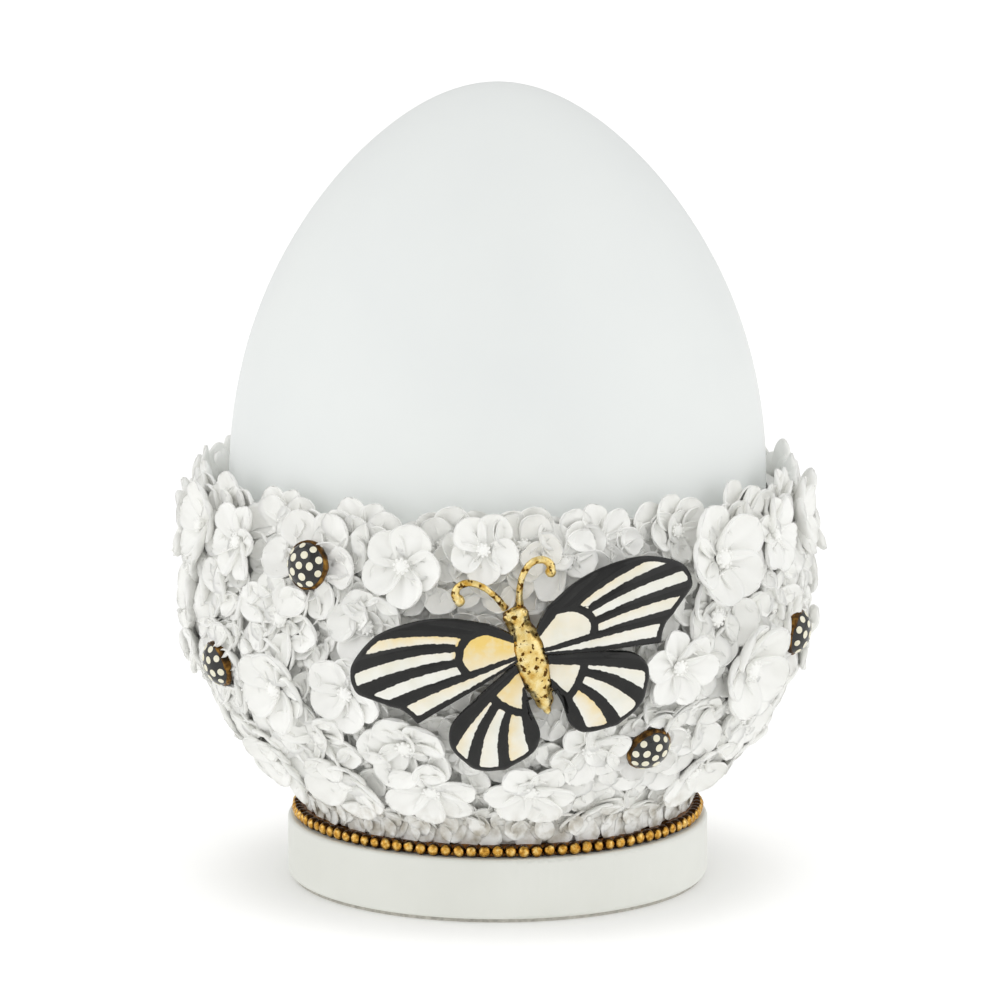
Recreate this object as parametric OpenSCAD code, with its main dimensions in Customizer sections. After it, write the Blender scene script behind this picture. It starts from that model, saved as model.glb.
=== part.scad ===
// Illuminated egg: an opal glass egg in a bowl crusted with blossoms, with a butterfly,
// domed studs and a beaded trim, on a round plinth that holds the batteries and the switch.
// Origin on the table under the plinth's centre, +Z up, front towards -Y, millimetres.

/* [Plinth] */
// Diameter of the plinth
plinth_d = 121; // [114:1:130]
// Height of the plinth above its felt
plinth_h = 17; // [16:0.5:24]
// Thickness of the plinth's wall
plinth_wall = 7.5; // [6.5:0.5:8]
// Radius of the plinth's softened edges
plinth_edge_r = 1.2; // [0.6:0.2:2]
// Thickness of the flange that closes the plinth's top
flange_t = 4; // [3:0.5:5]
// Diameter of the hole in the flange
flange_bore_d = 81; // [80:0.5:83]
// Thickness of the felt ring under the plinth
felt_t = 1; // [0.8:0.1:2]
// Width of the felt ring
felt_w = 5.5; // [4:0.5:6.5]

/* [Bowl] */
// Widest diameter of the bowl under its blossoms
bowl_d = 165; // [164:1:172]
// Height of the bowl
bowl_h = 95; // [92:1:100]
// Height of the bowl's widest level
bowl_belly_h = 68; // [66:1:72]
// Depth below the foot to which the lower curve would run on
bowl_run_h = 4; // [3:0.5:8]
// Diameter of the bowl's rim
bowl_rim_d = 161.4; // [160:0.2:163]
// Diameter of the bowl's foot
bowl_foot_d = 108; // [106:0.5:109]
// Thickness of the foot's wall
bowl_foot_wall = 4; // [3:0.5:5]
// Thickness of the bowl's wall
bowl_wall = 3.6; // [3:0.1:3.8]
// Height of the hollow under the bowl's floor
bowl_hollow_h = 10; // [8:0.5:12]
// Thickness of the bowl's floor
bowl_floor_t = 6; // [5:0.5:8]

/* [Glass egg] */
// Widest diameter of the egg
shade_d = 153; // [148:1:153]
// Height of the egg above its widest level
shade_crown = 113; // [100:1:125]
// Depth of the egg's lower curve, as far as its point would reach
shade_drop_h = 90; // [86:1:96]
// Thickness of the glass
shade_wall = 3; // [2:0.25:3.5]
// Share by which the crown is drawn in to a point
shade_point_share = 0.16; // [0:0.02:0.24]
// Share of the lower curve's depth at which the egg's open rim lies
shade_rim_share = 0.8333; // [0.8:0.01:0.85]

/* [Blossoms] */
// Height of the low blossoms' undersides
low_lift = 0.9; // [0.6:0.1:1]
// Rise of the low blossoms' petals from underside to tip
low_cup = 2.5; // [1.4:0.1:2.5]
// Height of the raised blossoms' undersides
high_lift = 4.3; // [4.2:0.1:4.4]
// Rise of the raised blossoms' petals from underside to tip
high_cup = 3.9; // [3:0.1:4.2]
// Radius of a raised blossom's stem
stem_r = 1.3; // [1:0.1:1.5]
// Radius of a low blossom's seat
seat_boss_r = 3.2; // [2.5:0.1:4]
// Height of the knob in a blossom's middle
knob_h = 1.6; // [1:0.1:2]
// Gap between a seated piece and what carries it
seat_gap = 0.15; // [0.1:0.05:0.3]

/* [Butterfly] */
// Reach of each forewing from the middle of the body
wing_reach = 44; // [44:1:50]
// Thickness of the wings
wing_t = 1.1; // [0.8:0.1:1.2]
// Height of the wings above the bowl where they join the body
wing_root_lift = 5.6; // [5.4:0.1:6]
// Height of the wings above the bowl at their tips
wing_tip_lift = 9; // [8.9:0.1:9.6]
// Step from the hindwings up to the forewings
wing_step = 1.5; // [1.4:0.1:1.7]
// Length of the body from head to tail
insect_l = 30; // [28:1:36]
// Widest width of the body
insect_w = 9; // [7:0.5:9]
// Depth of the body from its flat back
insect_t = 4.2; // [3:0.1:4.6]
// Lean of the body to the left, in degrees
insect_lean = 14.8; // [0:0.2:18]
// Direction of the butterfly's middle, in degrees to the right of the front
insect_bearing = 6; // [0:0.5:8]
// Height of the butterfly's middle above the plinth
insect_h = 62; // [60:1:66]
// Radius of the antennae
antenna_r = 0.9; // [0.6:0.1:1]
// Radius of the pegs that hold the butterfly on the bowl
peg_r = 1.5; // [1:0.1:1.6]

/* [Studs and beads] */
// Diameter of a domed stud
stud_d = 13.3; // [10:0.1:14]
// Height of a stud's rim
stud_rim_h = 0.8; // [0.5:0.1:1.2]
// Height of a stud's dome above its rim
stud_dome_h = 3.4; // [2:0.1:4]
// Diameter of a bead in the trim
bead_d = 3.5; // [2.8:0.1:3.6]
// Number of beads round the trim
bead_count = 100; // [90:1:100]
// Height of the trim's band
band_h = 3.7; // [3:0.1:4]
// Thickness of the trim's band
band_t = 1.3; // [1:0.1:1.5]

/* [Seat of the egg] */
// Thickness of the seat ring
seat_t = 4; // [3:0.5:5]
// Width of the seat ring outside its screws
seat_lip = 0.6; // [0.4:0.1:2]
// Height of the collar inside the egg's neck, above the seat
collar_h = 8; // [5:0.5:12]
// Thickness of the collar
collar_t = 2.6; // [2:0.1:3]
// Gap between the collar and the glass
collar_gap = 0.8; // [0.5:0.1:1.2]
// Thickness of the soft gasket
gasket_t = 2; // [1.5:0.5:3]

/* [Light unit] */
// Height of the lamp carrier
carrier_h = 26; // [18:1:40]
// Diameter of the carrier's tube
carrier_d = 22; // [21:0.5:26]
// Thickness of the carrier's tube and plates
carrier_t = 2.5; // [2:0.1:3]
// Diameter of the carrier's foot
carrier_foot_d = 48; // [44:1:56]
// Diameter of the lamp board
board_d = 38; // [34:1:44]
// Thickness of the lamp board
board_t = 1.6; // [1:0.1:2]
// Diameter of a lamp
lamp_d = 5; // [4:0.5:6]
// Height of a lamp
lamp_h = 8.6; // [6:0.1:10]
// Number of lamps
lamp_count = 6; // [4:1:6]

/* [Battery box] */
// Diameter of a battery
cell_d = 14.5; // [14:0.1:14.8]
// Length of a battery with its button
cell_l = 50.5; // [49.5:0.1:50.5]
// Number of batteries side by side
cell_count = 3; // [2:1:3]
// Space round each battery
cell_gap = 0.3; // [0.2:0.05:0.4]
// Length left for each spring
spring_space = 4.5; // [3.5:0.1:5]
// Thickness of the contact plates
contact_t = 0.5; // [0.3:0.1:0.6]
// Thickness of the battery box's walls
box_wall = 1.6; // [1.4:0.1:1.8]
// Thickness of the base cover and its door
cover_t = 2; // [1.6:0.1:2.4]
// Depth by which the base cover lies above the felt
cover_inset = 1.5; // [1:0.1:2]
// Gap round the base cover and round the door
cover_gap = 0.4; // [0.3:0.05:0.6]
// Radius of the door's pivot pins
pivot_r = 1.2; // [1:0.1:1.4]
// Running gap round the pivot pins
pivot_gap = 0.08; // [0.05:0.01:0.1]
// Length of each pivot pin
pivot_l = 2.6; // [2:0.1:3]

/* [Switch] */
// Width of the switch body
switch_w = 7; // [6.5:0.1:8]
// Length of the switch body
switch_l = 14; // [13.5:0.5:16]
// Height of the switch body
switch_h = 6; // [5:0.1:7]
// Travel of the slider
switch_travel = 3.5; // [2.5:0.1:3.5]
// Distance of the switch from the centre
switch_x = 38; // [37.5:0.5:40]

/* [Fasteners and leads] */
// Radius of a screw's shank
screw_r = 1.5; // [1.2:0.1:1.6]
// Radius of a screw's head
screw_head_r = 2.8; // [2.6:0.1:3]
// Height of a screw's head
screw_head_h = 1.8; // [1.4:0.1:2]
// Depth that a screw reaches into its boss
screw_bite = 6; // [5:0.5:6.5]
// Radius of a lead with its insulation
lead_r = 0.8; // [0.6:0.1:0.9]

/* [Hidden] */
$fn = 96;
fine_fn = 32;
over = 0.5;
touch_gap = 0.3;

// Levels above the table
plinth_top = felt_t + plinth_h;
floor_under = plinth_top + bowl_hollow_h;
floor_top = floor_under + bowl_floor_t;
seat_top = floor_top + seat_t;
rim_z = seat_top + gasket_t;
shade_rim_drop = shade_drop_h * shade_rim_share;
shade_level = rim_z + shade_rim_drop;
cover_under = felt_t + cover_inset;
cover_top = cover_under + cover_t;
board_under = floor_top + carrier_h;
board_top = board_under + board_t;

// The bowl's outline, by height above the plinth
bowl_r_max = bowl_d / 2;
foot_r = bowl_foot_d / 2;
bowl_drop = bowl_belly_h + bowl_run_h;
bowl_arch = (bowl_h - bowl_belly_h) / sqrt(1 - pow(bowl_rim_d / bowl_d, 2));
function belly_share(h) = h < bowl_belly_h
  ? (bowl_belly_h - h) / bowl_drop
  : (h - bowl_belly_h) / bowl_arch;
function round_share(h) = sqrt(max(0, 1 - pow(belly_share(h), 2)));
function bowl_r(h) = max(foot_r, bowl_r_max * round_share(h));
function bowl_slope(h) = (h < bowl_belly_h ? 1 / bowl_drop : -1 / bowl_arch)
  * bowl_r_max * belly_share(h) / round_share(h);
function bowl_tilt(h) = -atan(bowl_slope(h));
bowl_foot_h = bowl_belly_h - bowl_drop * sqrt(1 - pow(foot_r / bowl_r_max, 2));
outline_steps = 20;
band_r = foot_r + touch_gap;

// The egg's outline, by height above its widest level
shade_r = shade_d / 2;
point_power = 2.7;
egg_steps = 32;
function egg_r(t, r) = r * cos(90 * t) * (1 - shade_point_share * pow(max(0, sin(90 * t)), point_power));
rim_turn_out = asin(shade_rim_drop / shade_drop_h);
rim_turn_in = asin(shade_rim_drop / (shade_drop_h - shade_wall));
neck_r = (shade_r - shade_wall) * cos(rim_turn_in);
rim_outer_r = shade_r * cos(rim_turn_out);

// Blossom sizes follow the bowl, so that the rows stay filled and clear of each other
girth_share = 0.1657;
rise_share = 0.2948;
blossom_d = min(girth_share * bowl_d, rise_share * bowl_h);
petals = 5;
petal_turn = 360 / petals;
golden_turn = 137.5;
notch_r_share = 0.78;
shoulder_r_share = 0.95;
shoulder_turn_share = 0.33;
trough_r_share = 0.6;
knob_r_share = 0.2;
heart_h_share = 0.42;
trough_h_share = 0.52;
notch_h_share = 0.6;
shoulder_h_share = 0.88;
back_r_share = 0.45;

// Places of the blossoms in half a turn, each repeated on the far side:
// direction in degrees, height as a share of the bowl's, width as a share of blossom_d, stud or not
rim_shares = [
  [-35.5, 0.885, 1.2, 1], [-16.9, 0.905, 0.88, 0], [-2.5, 0.955, 0.74, 0], [12, 0.915, 0.9, 0],
  [27, 0.93, 0.74, 0], [43.5, 0.89, 1.09, 0], [61, 0.92, 0.84, 0], [77, 0.925, 0.9, 0],
  [93.5, 0.9, 0.92, 0], [110, 0.925, 0.9, 0], [125.8, 0.915, 0.82, 0]
];
middle_shares = [
  [-63.3, 0.555, 1.05, 1], [-45, 0.53, 0.92, 0], [-29, 0.54, 0.84, 0], [34, 0.61, 0.84, 0],
  [52.5, 0.57, 1.05, 0], [71.5, 0.62, 1, 1], [87.5, 0.56, 0.72, 0], [100.5, 0.57, 0.7, 0]
];
// The middle row's places that the butterfly covers at the front are filled at the back only
middle_back_shares = [[166.5, 0.55, 0.84, 0], [182, 0.56, 0.84, 0], [197.5, 0.55, 0.84, 0]];
lower_shares = [
  [7.3, 0.26, 0.92, 0], [31, 0.385, 0.94, 1], [52.3, 0.25, 0.96, 0], [74.8, 0.255, 0.96, 0],
  [97.3, 0.25, 0.96, 0], [119.8, 0.26, 0.94, 0], [142.3, 0.25, 0.96, 0], [164.8, 0.255, 0.94, 0]
];
shoulder_shares = [
  [-5.2, 0.72, 0.94], [19.2, 0.725, 1.04], [43.4, 0.725, 0.94], [62.1, 0.72, 0.92],
  [80.9, 0.73, 0.94], [99.7, 0.73, 0.94], [118.5, 0.73, 0.94], [137.2, 0.725, 0.96],
  [156, 0.73, 0.94]
];
waist_shares = [
  [-0.2, 0.385, 0.9], [18.6, 0.385, 0.9], [41, 0.385, 0.92], [61, 0.39, 0.95], [81, 0.39, 0.95],
  [101, 0.39, 0.95], [121, 0.39, 0.95], [141, 0.385, 0.95], [161, 0.385, 0.92]
];
crown_h_share = 0.99;
crown_width_share = 0.78;
foot_count = 18;
foot_rise = 2.6;
foot_width_share = 0.7;
foot_start = 6;
crown_lean = 2;
rim_lean = 3;
foot_lean = 10;
foot_lift = 2.6;

// Stud sizes, seated on the raised blossoms' hearts
stud_seat = high_lift + high_cup * trough_h_share + seat_gap;

// Butterfly outlines as shares of wing_reach, in the body's own frame, for the right side
forewing_shares = [
  [0.163, 0.306], [0.333, 0.392], [0.522, 0.43], [0.743, 0.416], [0.92, 0.33], [1, 0.235],
  [0.992, 0.139], [0.888, 0.061], [0.776, -0.01], [0.714, -0.102]
];
hindwing_shares = [
  [0.38, -0.03], [0.561, -0.1], [0.629, -0.21], [0.608, -0.315], [0.541, -0.415],
  [0.435, -0.465], [0.327, -0.475], [0.204, -0.455], [0.122, -0.37], [0.12, -0.22]
];
// Where each wing's root starts and ends along the body, as shares of insect_l
forewing_root_shares = [0.27, 0.05];
hindwing_root_shares = [0.02, -0.24];
wing_rings = 3;
wing_droop = 4.5;
hindwing_droop = 11;
wing_rise_share = 0.36;
insect_half_w = insect_w / 2;
// Stations along the body from tail to head: place and half width as shares
insect_shares = [
  [-0.51, 0.1], [-0.4, 0.5], [-0.25, 0.76], [-0.06, 0.94], [0.1, 1], [0.24, 0.86], [0.33, 0.5],
  [0.39, 0.6], [0.45, 0.5], [0.49, 0.16]
];
insect_facet_count = 6;
insect_back_lift = wing_root_lift - wing_t / 2;
antenna_shares = [
  [0.04, 0.45], [0.055, 0.54], [0.09, 0.66], [0.16, 0.78], [0.26, 0.85], [0.36, 0.85],
  [0.42, 0.78], [0.42, 0.7]
];
antenna_sides = 6;
antenna_rise_steps = 3;
antenna_lift = wing_tip_lift + antenna_r;
peg_place_shares = [-0.3, 0.13];

// Sizes of the seat and the light unit
seat_r_in = neck_r - collar_gap - collar_t;
seat_screw_r = rim_outer_r + touch_gap + screw_head_r;
seat_r_out = seat_screw_r + screw_head_r + seat_lip;
gasket_r_in = neck_r - collar_gap + touch_gap;
carrier_r = carrier_d / 2;
carrier_foot_r = carrier_foot_d / 2;
board_r = board_d / 2;
lamp_r = lamp_d / 2;
lamp_ring_share = 2.4;
lamp_rim_share = 1.15;
lamp_rim_h_share = 0.4;
lamp_start = 30;
grommet_bore_share = 4;
grommet_bore_r = lead_r * grommet_bore_share;
grommet_wall = 2;
grommet_lip = 1.5;
grommet_lip_t = 1.2;
grommet_r = grommet_bore_r + grommet_wall;

// Sizes of the battery box
cell_r = cell_d / 2;
cell_pitch = cell_d + cell_gap;
box_in_w = cell_count * cell_pitch + cell_gap;
box_in_l = cell_l + spring_space + 2 * contact_t + cell_gap;
box_out_w = box_in_w + 2 * box_wall;
box_out_l = box_in_l + 2 * box_wall;
cell_z = cover_top + cell_gap + cell_r;
box_top = cell_z + cell_r + cell_gap + box_wall;
hinge_boss_share = 1.7;
hinge_boss_r = pivot_r * hinge_boss_share;
hinge_y = -(box_out_l / 2 + hinge_boss_r + cover_gap);
hinge_z = cover_under + hinge_boss_r;
door_screw_y = box_out_l / 2 + screw_head_r + cover_gap;
door_w = box_out_w + 2 * cover_gap;
door_tip_y = door_screw_y + screw_head_r + cover_gap;
ledge_t = box_wall;
ledge_w = 4;
pivot_hole_r = pivot_r + pivot_gap;
ear_t = pivot_l + cover_gap;
cover_r = plinth_d / 2 - plinth_wall - cover_gap;
cell_button_l = 1;
cell_button_r = 2.75;
cell_end = (box_in_l - cell_gap) / 2 - contact_t;
function cell_x(i) = (i - (cell_count - 1) / 2) * cell_pitch;
function cell_way(i) = i % 2 == 0 ? 1 : -1;
spring_turns = 4;
spring_sides = 5;
spring_steps = 6;
spring_wire_r = 0.35;
spring_base_share = 0.62;
spring_taper_share = -0.28;
contact_w_share = 0.7;
contact_w = cell_d * contact_w_share;
contact_y = box_in_l / 2 - contact_t / 2 - cell_gap / 4;
// The two tabs stand at the first cell's button end and the last cell's spring end
tab_w = 3;
tab_rise = 1.5;
tab_places = [
  [cell_x(0), contact_y], [cell_x(cell_count - 1), -cell_way(cell_count - 1) * contact_y]
];

// Places of the screws
cover_boss_r = 3.5;
cover_screw_r = plinth_d / 2 - plinth_wall - cover_boss_r - touch_gap - cover_gap;
cover_screw_turns = [20, 160, 200, 340];
bowl_boss_r = 4;
bowl_screw_r = foot_r - bowl_foot_wall - bowl_boss_r - touch_gap;
bowl_screw_turns = [45, 135, 225, 315];
three_turns = [90, 210, 330];
screw_clear = 0.3;
head_top_share = 0.8;
small_screw_share = 0.7;
small_hole_share = 0.8;
flat_head_share = 0.5;

// Sizes inside the switch
slider_w = 4.6;
slider_l = 5;
slider_t = 1.8;
slider_gap = 0.25;
thumb_w = 3;
thumb_l = 3;
thumb_inset = 0.8;
pin_l = 3;
pin_w = 1.2;
pin_t_share = 0.5;

// Routes of the leads, points chosen by hand
lead_sides = 8;
lead_top = board_under - seat_gap;
pin_top = cover_top + switch_h + pin_l + seat_gap;
tab_top = box_top + tab_rise + seat_gap;
run_z = tab_top + 2 * lead_r;
lead_x = grommet_bore_r / 2;
bend_steps = 4;

// A solid swept along points, with flat ends; sides is the number round
function unit(v) = v / norm(v);
function along(p, i) = unit(p[min(i + 1, len(p) - 1)] - p[max(i - 1, 0)]);
function across(t) = unit(cross(t, abs(t.z) < 0.9 ? [0, 0, 1] : [1, 0, 0]));
function ring_at(p, i, r, sides) =
  let(t = along(p, i), a = across(t), b = cross(t, a))
  [for (k = [0:sides - 1]) p[i] + r * (cos(360 * k / sides) * a - sin(360 * k / sides) * b)];
function band_faces(rings, sides) = [
  for (i = [0:rings - 2]) for (k = [0:sides - 1])
    let(a = i * sides + k, b = i * sides + (k + 1) % sides)
    each [[a, b, b + sides], [a, b + sides, a + sides]]
];
module sweep(p, r, sides) {
  n = len(p);
  polyhedron(
    [for (i = [0:n - 1]) each ring_at(p, i, r, sides)],
    concat(
      band_faces(n, sides),
      [[for (k = [sides - 1:-1:0]) k]],
      [[for (k = [0:sides - 1]) (n - 1) * sides + k]]
    )
  );
}

// Points along a rounded run through hand-chosen corners
function bend(p, q, r, t) = p * (1 - t) * (1 - t) + q * 2 * t * (1 - t) + r * t * t;
function rounded(p) = concat(
  [p[0]],
  [
    for (i = [1:len(p) - 2]) for (k = [0:bend_steps])
      bend((p[i - 1] + p[i]) / 2, p[i], (p[i] + p[i + 1]) / 2, k / bend_steps)
  ],
  [p[len(p) - 1]]
);

// Carries a piece to a place on the bowl, its own +Z along the bowl's outward normal
module on_bowl(side, h, lean = 0) {
  rotate([0, 0, side]) translate([0, -bowl_r(h), plinth_top + h])
    rotate([90 - bowl_tilt(h) - lean, 0, 0]) children();
}

// One blossom of five cupped petals round a knob, raised on a stem or low on a wide seat
function polar(r, a, z) = [r * cos(a), r * sin(a), z];
module blossom(d, lift, cup, foot, knob, stem, raised) {
  r = d / 2;
  half = petal_turn / 2;
  side = petal_turn * shoulder_turn_share;
  heart = lift + cup * heart_h_share;
  ring = [for (p = [0:petals - 1]) p * petal_turn];
  points = concat(
    [for (a = ring) polar(r * notch_r_share, a - half, lift + cup * notch_h_share)],
    [for (a = ring) polar(r * shoulder_r_share, a - side, lift + cup * shoulder_h_share)],
    [for (a = ring) polar(r, a, lift + cup)],
    [for (a = ring) polar(r * shoulder_r_share, a + side, lift + cup * shoulder_h_share)],
    [for (a = ring) polar(r * trough_r_share, a, lift + cup * trough_h_share)],
    [for (a = ring) polar(r * knob_r_share, a - half, heart)],
    [for (a = ring) polar(r * back_r_share, a - half, lift)],
    [for (a = ring) polar(foot, a - half, seat_gap + stem)],
    [[0, 0, heart + knob]],
    [for (a = ring) polar(foot, a - half, lift)]
  );
  faces = [
    for (p = [0:petals - 1])
      let(q = (p + 1) % petals, n = p, m = q, s = p + petals, t = p + 2 * petals,
          u = p + 3 * petals, v = p + 4 * petals, c = p + 5 * petals, e = q + 5 * petals,
          b = p + 6 * petals, f = q + 6 * petals, g = p + 7 * petals, w = q + 7 * petals,
          x = p + 8 * petals + 1, y = q + 8 * petals + 1)
      each concat(
        [
          [e, c, 8 * petals], [v, n, c], [v, s, n], [v, t, s], [v, u, t], [v, m, u], [v, e, m],
          [v, c, e], [n, s, b], [s, t, b], [t, f, b], [t, u, f], [u, m, f]
        ],
        raised ? [[b, f, y], [b, y, x], [x, y, w], [x, w, g]] : [[b, f, w], [b, w, g]]
      )
  ];
  used = raised ? points : [for (i = [0:8 * petals]) points[i]];
  polyhedron(used, concat(faces, [[for (p = [0:petals - 1]) p + 7 * petals]]));
}
module raised_blossom(place, i, lean = 0) {
  on_bowl(place[0], place[1] * bowl_h, lean) rotate([0, 0, golden_turn * i])
    blossom(
      place[2] * blossom_d, high_lift, high_cup, stem_r, knob_h * (1 - place[3]),
      stem_r * abs(sin(lean)), true
    );
}
module low_row(places, lift, foot, lean = 0) {
  for (half = [0, 180]) for (i = [0:len(places) - 1])
    on_bowl(places[i][0] + half, places[i][1] * bowl_h, lean) rotate([0, 0, golden_turn * i])
      blossom(
        places[i][2] * blossom_d, lift, low_cup, foot, knob_h, foot * abs(sin(lean)),
        foot < seat_boss_r
      );
}
module raised_row(places, lean = 0) {
  for (half = [0, 180]) for (i = [0:len(places) - 1])
    raised_blossom(places[i] + [half, 0, 0, 0], i, lean);
}

module plinth() {
  r = plinth_d / 2;
  e = plinth_edge_r;
  inner = r - plinth_wall;
  boss_h = plinth_top - flange_t - cover_top;
  color("whitesmoke") difference() {
    union() {
      rotate_extrude() difference() {
        union() {
          translate([inner, felt_t + e]) square([plinth_wall, plinth_h - 2 * e]);
          translate([inner, felt_t]) square([plinth_wall - e, plinth_h]);
          for (z = [felt_t + e, plinth_top - e]) translate([r - e, z]) circle(e);
          translate([flange_bore_d / 2, plinth_top - flange_t])
            square([inner - flange_bore_d / 2 + e, flange_t]);
        }
        translate([-r, felt_t]) square([r, plinth_h]);
      }
      for (a = cover_screw_turns) rotate([0, 0, a])
        translate([cover_screw_r, 0, cover_top + touch_gap])
          cylinder(boss_h, cover_boss_r, cover_boss_r);
    }
    for (a = cover_screw_turns) rotate([0, 0, a]) translate([cover_screw_r, 0, cover_top])
      cylinder(screw_bite + touch_gap, screw_r, screw_r);
    for (a = bowl_screw_turns) rotate([0, 0, a])
      translate([bowl_screw_r, 0, plinth_top - flange_t - over])
        cylinder(flange_t + 2 * over, screw_r + screw_clear, screw_r + screw_clear);
  }
}

module foot_felt() {
  r = plinth_d / 2 - plinth_edge_r - touch_gap;
  color("gray") rotate_extrude() translate([r - felt_w, 0]) square([felt_w, felt_t]);
}

module trim_band() {
  color("saddlebrown") rotate_extrude() translate([band_r, plinth_top]) square([band_t, band_h]);
}
module trim_beads() {
  bead_r = bead_d / 2;
  color("goldenrod") for (i = [0:bead_count - 1]) rotate([0, 0, 360 * i / bead_count])
    translate([band_r + band_t + seat_gap + bead_r, 0, plinth_top + band_h / 2])
      sphere(bead_r, $fn = fine_fn);
}

module flower_bowl() {
  rim_h = bowl_h;
  inner_foot = foot_r - bowl_foot_wall;
  low = bowl_foot_h;
  inside_low = bowl_hollow_h + bowl_floor_t;
  outer = [
    for (i = [0:outline_steps]) let(h = low + (rim_h - low) * i / outline_steps) [bowl_r(h), h]
  ];
  inner = [
    for (i = [outline_steps:-1:0])
      let(h = inside_low + (rim_h - inside_low) * i / outline_steps) [bowl_r(h) - bowl_wall, h]
  ];
  color("ivory") difference() {
    translate([0, 0, plinth_top]) union() {
      rotate_extrude() polygon(concat(
        [[0, bowl_hollow_h], [inner_foot, bowl_hollow_h], [inner_foot, 0], [foot_r, 0]],
        outer, inner, [[0, inside_low]]
      ));
      for (a = bowl_screw_turns) rotate([0, 0, a]) translate([bowl_screw_r, 0, 0])
        cylinder(bowl_hollow_h + over, bowl_boss_r, bowl_boss_r);
    }
    for (a = bowl_screw_turns) rotate([0, 0, a])
      translate([bowl_screw_r, 0, plinth_top - over])
        cylinder(screw_bite + over, screw_r, screw_r);
    for (a = three_turns) rotate([0, 0, a]) {
      translate([seat_screw_r, 0, floor_top - bowl_floor_t + over])
        cylinder(bowl_floor_t, screw_r, screw_r);
      translate([(carrier_r + carrier_foot_r) / 2, 0, floor_top - bowl_floor_t + over])
        cylinder(bowl_floor_t, screw_r, screw_r);
    }
    translate([0, 0, floor_under - over])
      cylinder(bowl_floor_t + 2 * over, grommet_r, grommet_r);
  }
}

module crown_blossoms() {
  n = len(rim_shares);
  between = [
    for (i = [0:n - 1])
      let(next = i < n - 1 ? rim_shares[i + 1][0] : rim_shares[0][0] + 180)
      [(rim_shares[i][0] + next) / 2, crown_h_share, crown_width_share]
  ];
  color("white") low_row(between, low_lift, seat_boss_r, crown_lean);
}
module rim_blossoms() {
  color("white") raised_row(rim_shares, rim_lean);
}
module shoulder_blossoms() {
  color("white") low_row(shoulder_shares, low_lift, seat_boss_r);
}
module middle_blossoms() {
  color("white") {
    raised_row(middle_shares);
    for (i = [0:len(middle_back_shares) - 1]) raised_blossom(middle_back_shares[i], i);
  }
}
module waist_blossoms() {
  color("white") low_row(waist_shares, low_lift, seat_boss_r);
}
module lower_blossoms() {
  color("white") raised_row(lower_shares);
}
module foot_blossoms() {
  half = [
    for (i = [0:foot_count / 2 - 1])
      [foot_start + 360 * i / foot_count, (bowl_foot_h + foot_rise) / bowl_h, foot_width_share]
  ];
  color("white") low_row(half, foot_lift, stem_r, foot_lean);
}

module dome_stud() {
  r = stud_d / 2;
  dome_r = (r * r + stud_dome_h * stud_dome_h) / (2 * stud_dome_h);
  cylinder(stud_rim_h, r, r);
  translate([0, 0, stud_rim_h]) intersection() {
    translate([0, 0, stud_dome_h - dome_r]) sphere(dome_r);
    cylinder(stud_dome_h, r, r);
  }
}
module dome_studs() {
  color("dimgray") for (row = [[rim_shares, rim_lean], [middle_shares, 0], [lower_shares, 0]])
    for (half = [0, 180]) for (p = row[0]) if (p[3] == 1)
      on_bowl(p[0] + half, p[1] * bowl_h, row[1]) translate([0, 0, stud_seat]) dome_stud();
}

// Maps a point of the butterfly's own flat frame, with a height, onto the curved bowl
function lean_point(p, a) = [p.x * cos(a) - p.y * sin(a), p.x * sin(a) + p.y * cos(a)];
function insect_turn(x) = insect_bearing + x / bowl_r_max * 180 / PI;
function wrapped(p, lift) =
  let(q = lean_point(p, insect_lean), h = insect_h + q.y, e = bowl_tilt(h),
      r = bowl_r(h) + lift * cos(e), a = insect_turn(q.x))
  [r * sin(a), -r * cos(a), plinth_top + h + lift * sin(e)];
function wing_lift(p) =
  let(t = min(1, max(0, norm(p) - insect_half_w) / (wing_reach * wing_rise_share)))
  wing_root_lift + (wing_tip_lift - wing_root_lift) * (1 - (1 - t) * (1 - t));
function body_side(y, lift) =
  let(s = lookup(y / insect_l, insect_shares), f = (lift - insect_back_lift) / (insect_t * s))
  insect_half_w * s * sqrt(1 - f * f);
// A wing runs from a root line along the body's side out to its outline
module wing(shares, root_shares, step, mirrored, droop) {
  n = len(shares);
  turn = mirrored ? -droop : 0;
  side = mirrored ? -1 : 1;
  root = [
    for (i = [0:n - 1])
      let(y = insect_l * (root_shares[0] + (root_shares[1] - root_shares[0]) * i / (n - 1)))
      [body_side(y, wing_root_lift + step) + touch_gap, y]
  ];
  flat = [
    for (k = [0:wing_rings]) for (i = [0:n - 1])
      let(q = root[i] + (lean_point(shares[i] * wing_reach, turn) - root[i]) * k / wing_rings)
      [side * q.x, q.y]
  ];
  low = [for (p = flat) wrapped(p, wing_lift(p) + step)];
  high = [for (p = flat) wrapped(p, wing_lift(p) + step + wing_t)];
  m = len(flat);
  top = [
    for (k = [0:wing_rings - 1]) for (i = [0:n - 2]) let(a = m + k * n + i)
      each [[a, a + n, a + n + 1], [a, a + n + 1, a + 1]]
  ];
  under = [
    for (k = [0:wing_rings - 1]) for (i = [0:n - 2]) let(a = k * n + i)
      each [[a, a + n + 1, a + n], [a, a + 1, a + n + 1]]
  ];
  edge = concat(
    [for (i = [0:n - 2]) i],
    [for (k = [0:wing_rings - 1]) k * n + n - 1],
    [for (i = [n - 1:-1:1]) wing_rings * n + i],
    [for (k = [wing_rings:-1:1]) k * n]
  );
  w = len(edge);
  rim = [
    for (i = [0:w - 1]) let(a = edge[i], b = edge[(i + 1) % w])
      each [[a, a + m, b + m], [a, b + m, b]]
  ];
  faces = concat(top, under, rim);
  polyhedron(concat(low, high), mirrored ? [for (f = faces) [f[2], f[1], f[0]]] : faces);
}
module right_forewing() {
  color("dimgray") wing(forewing_shares, forewing_root_shares, wing_step, false, 0);
}
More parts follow.
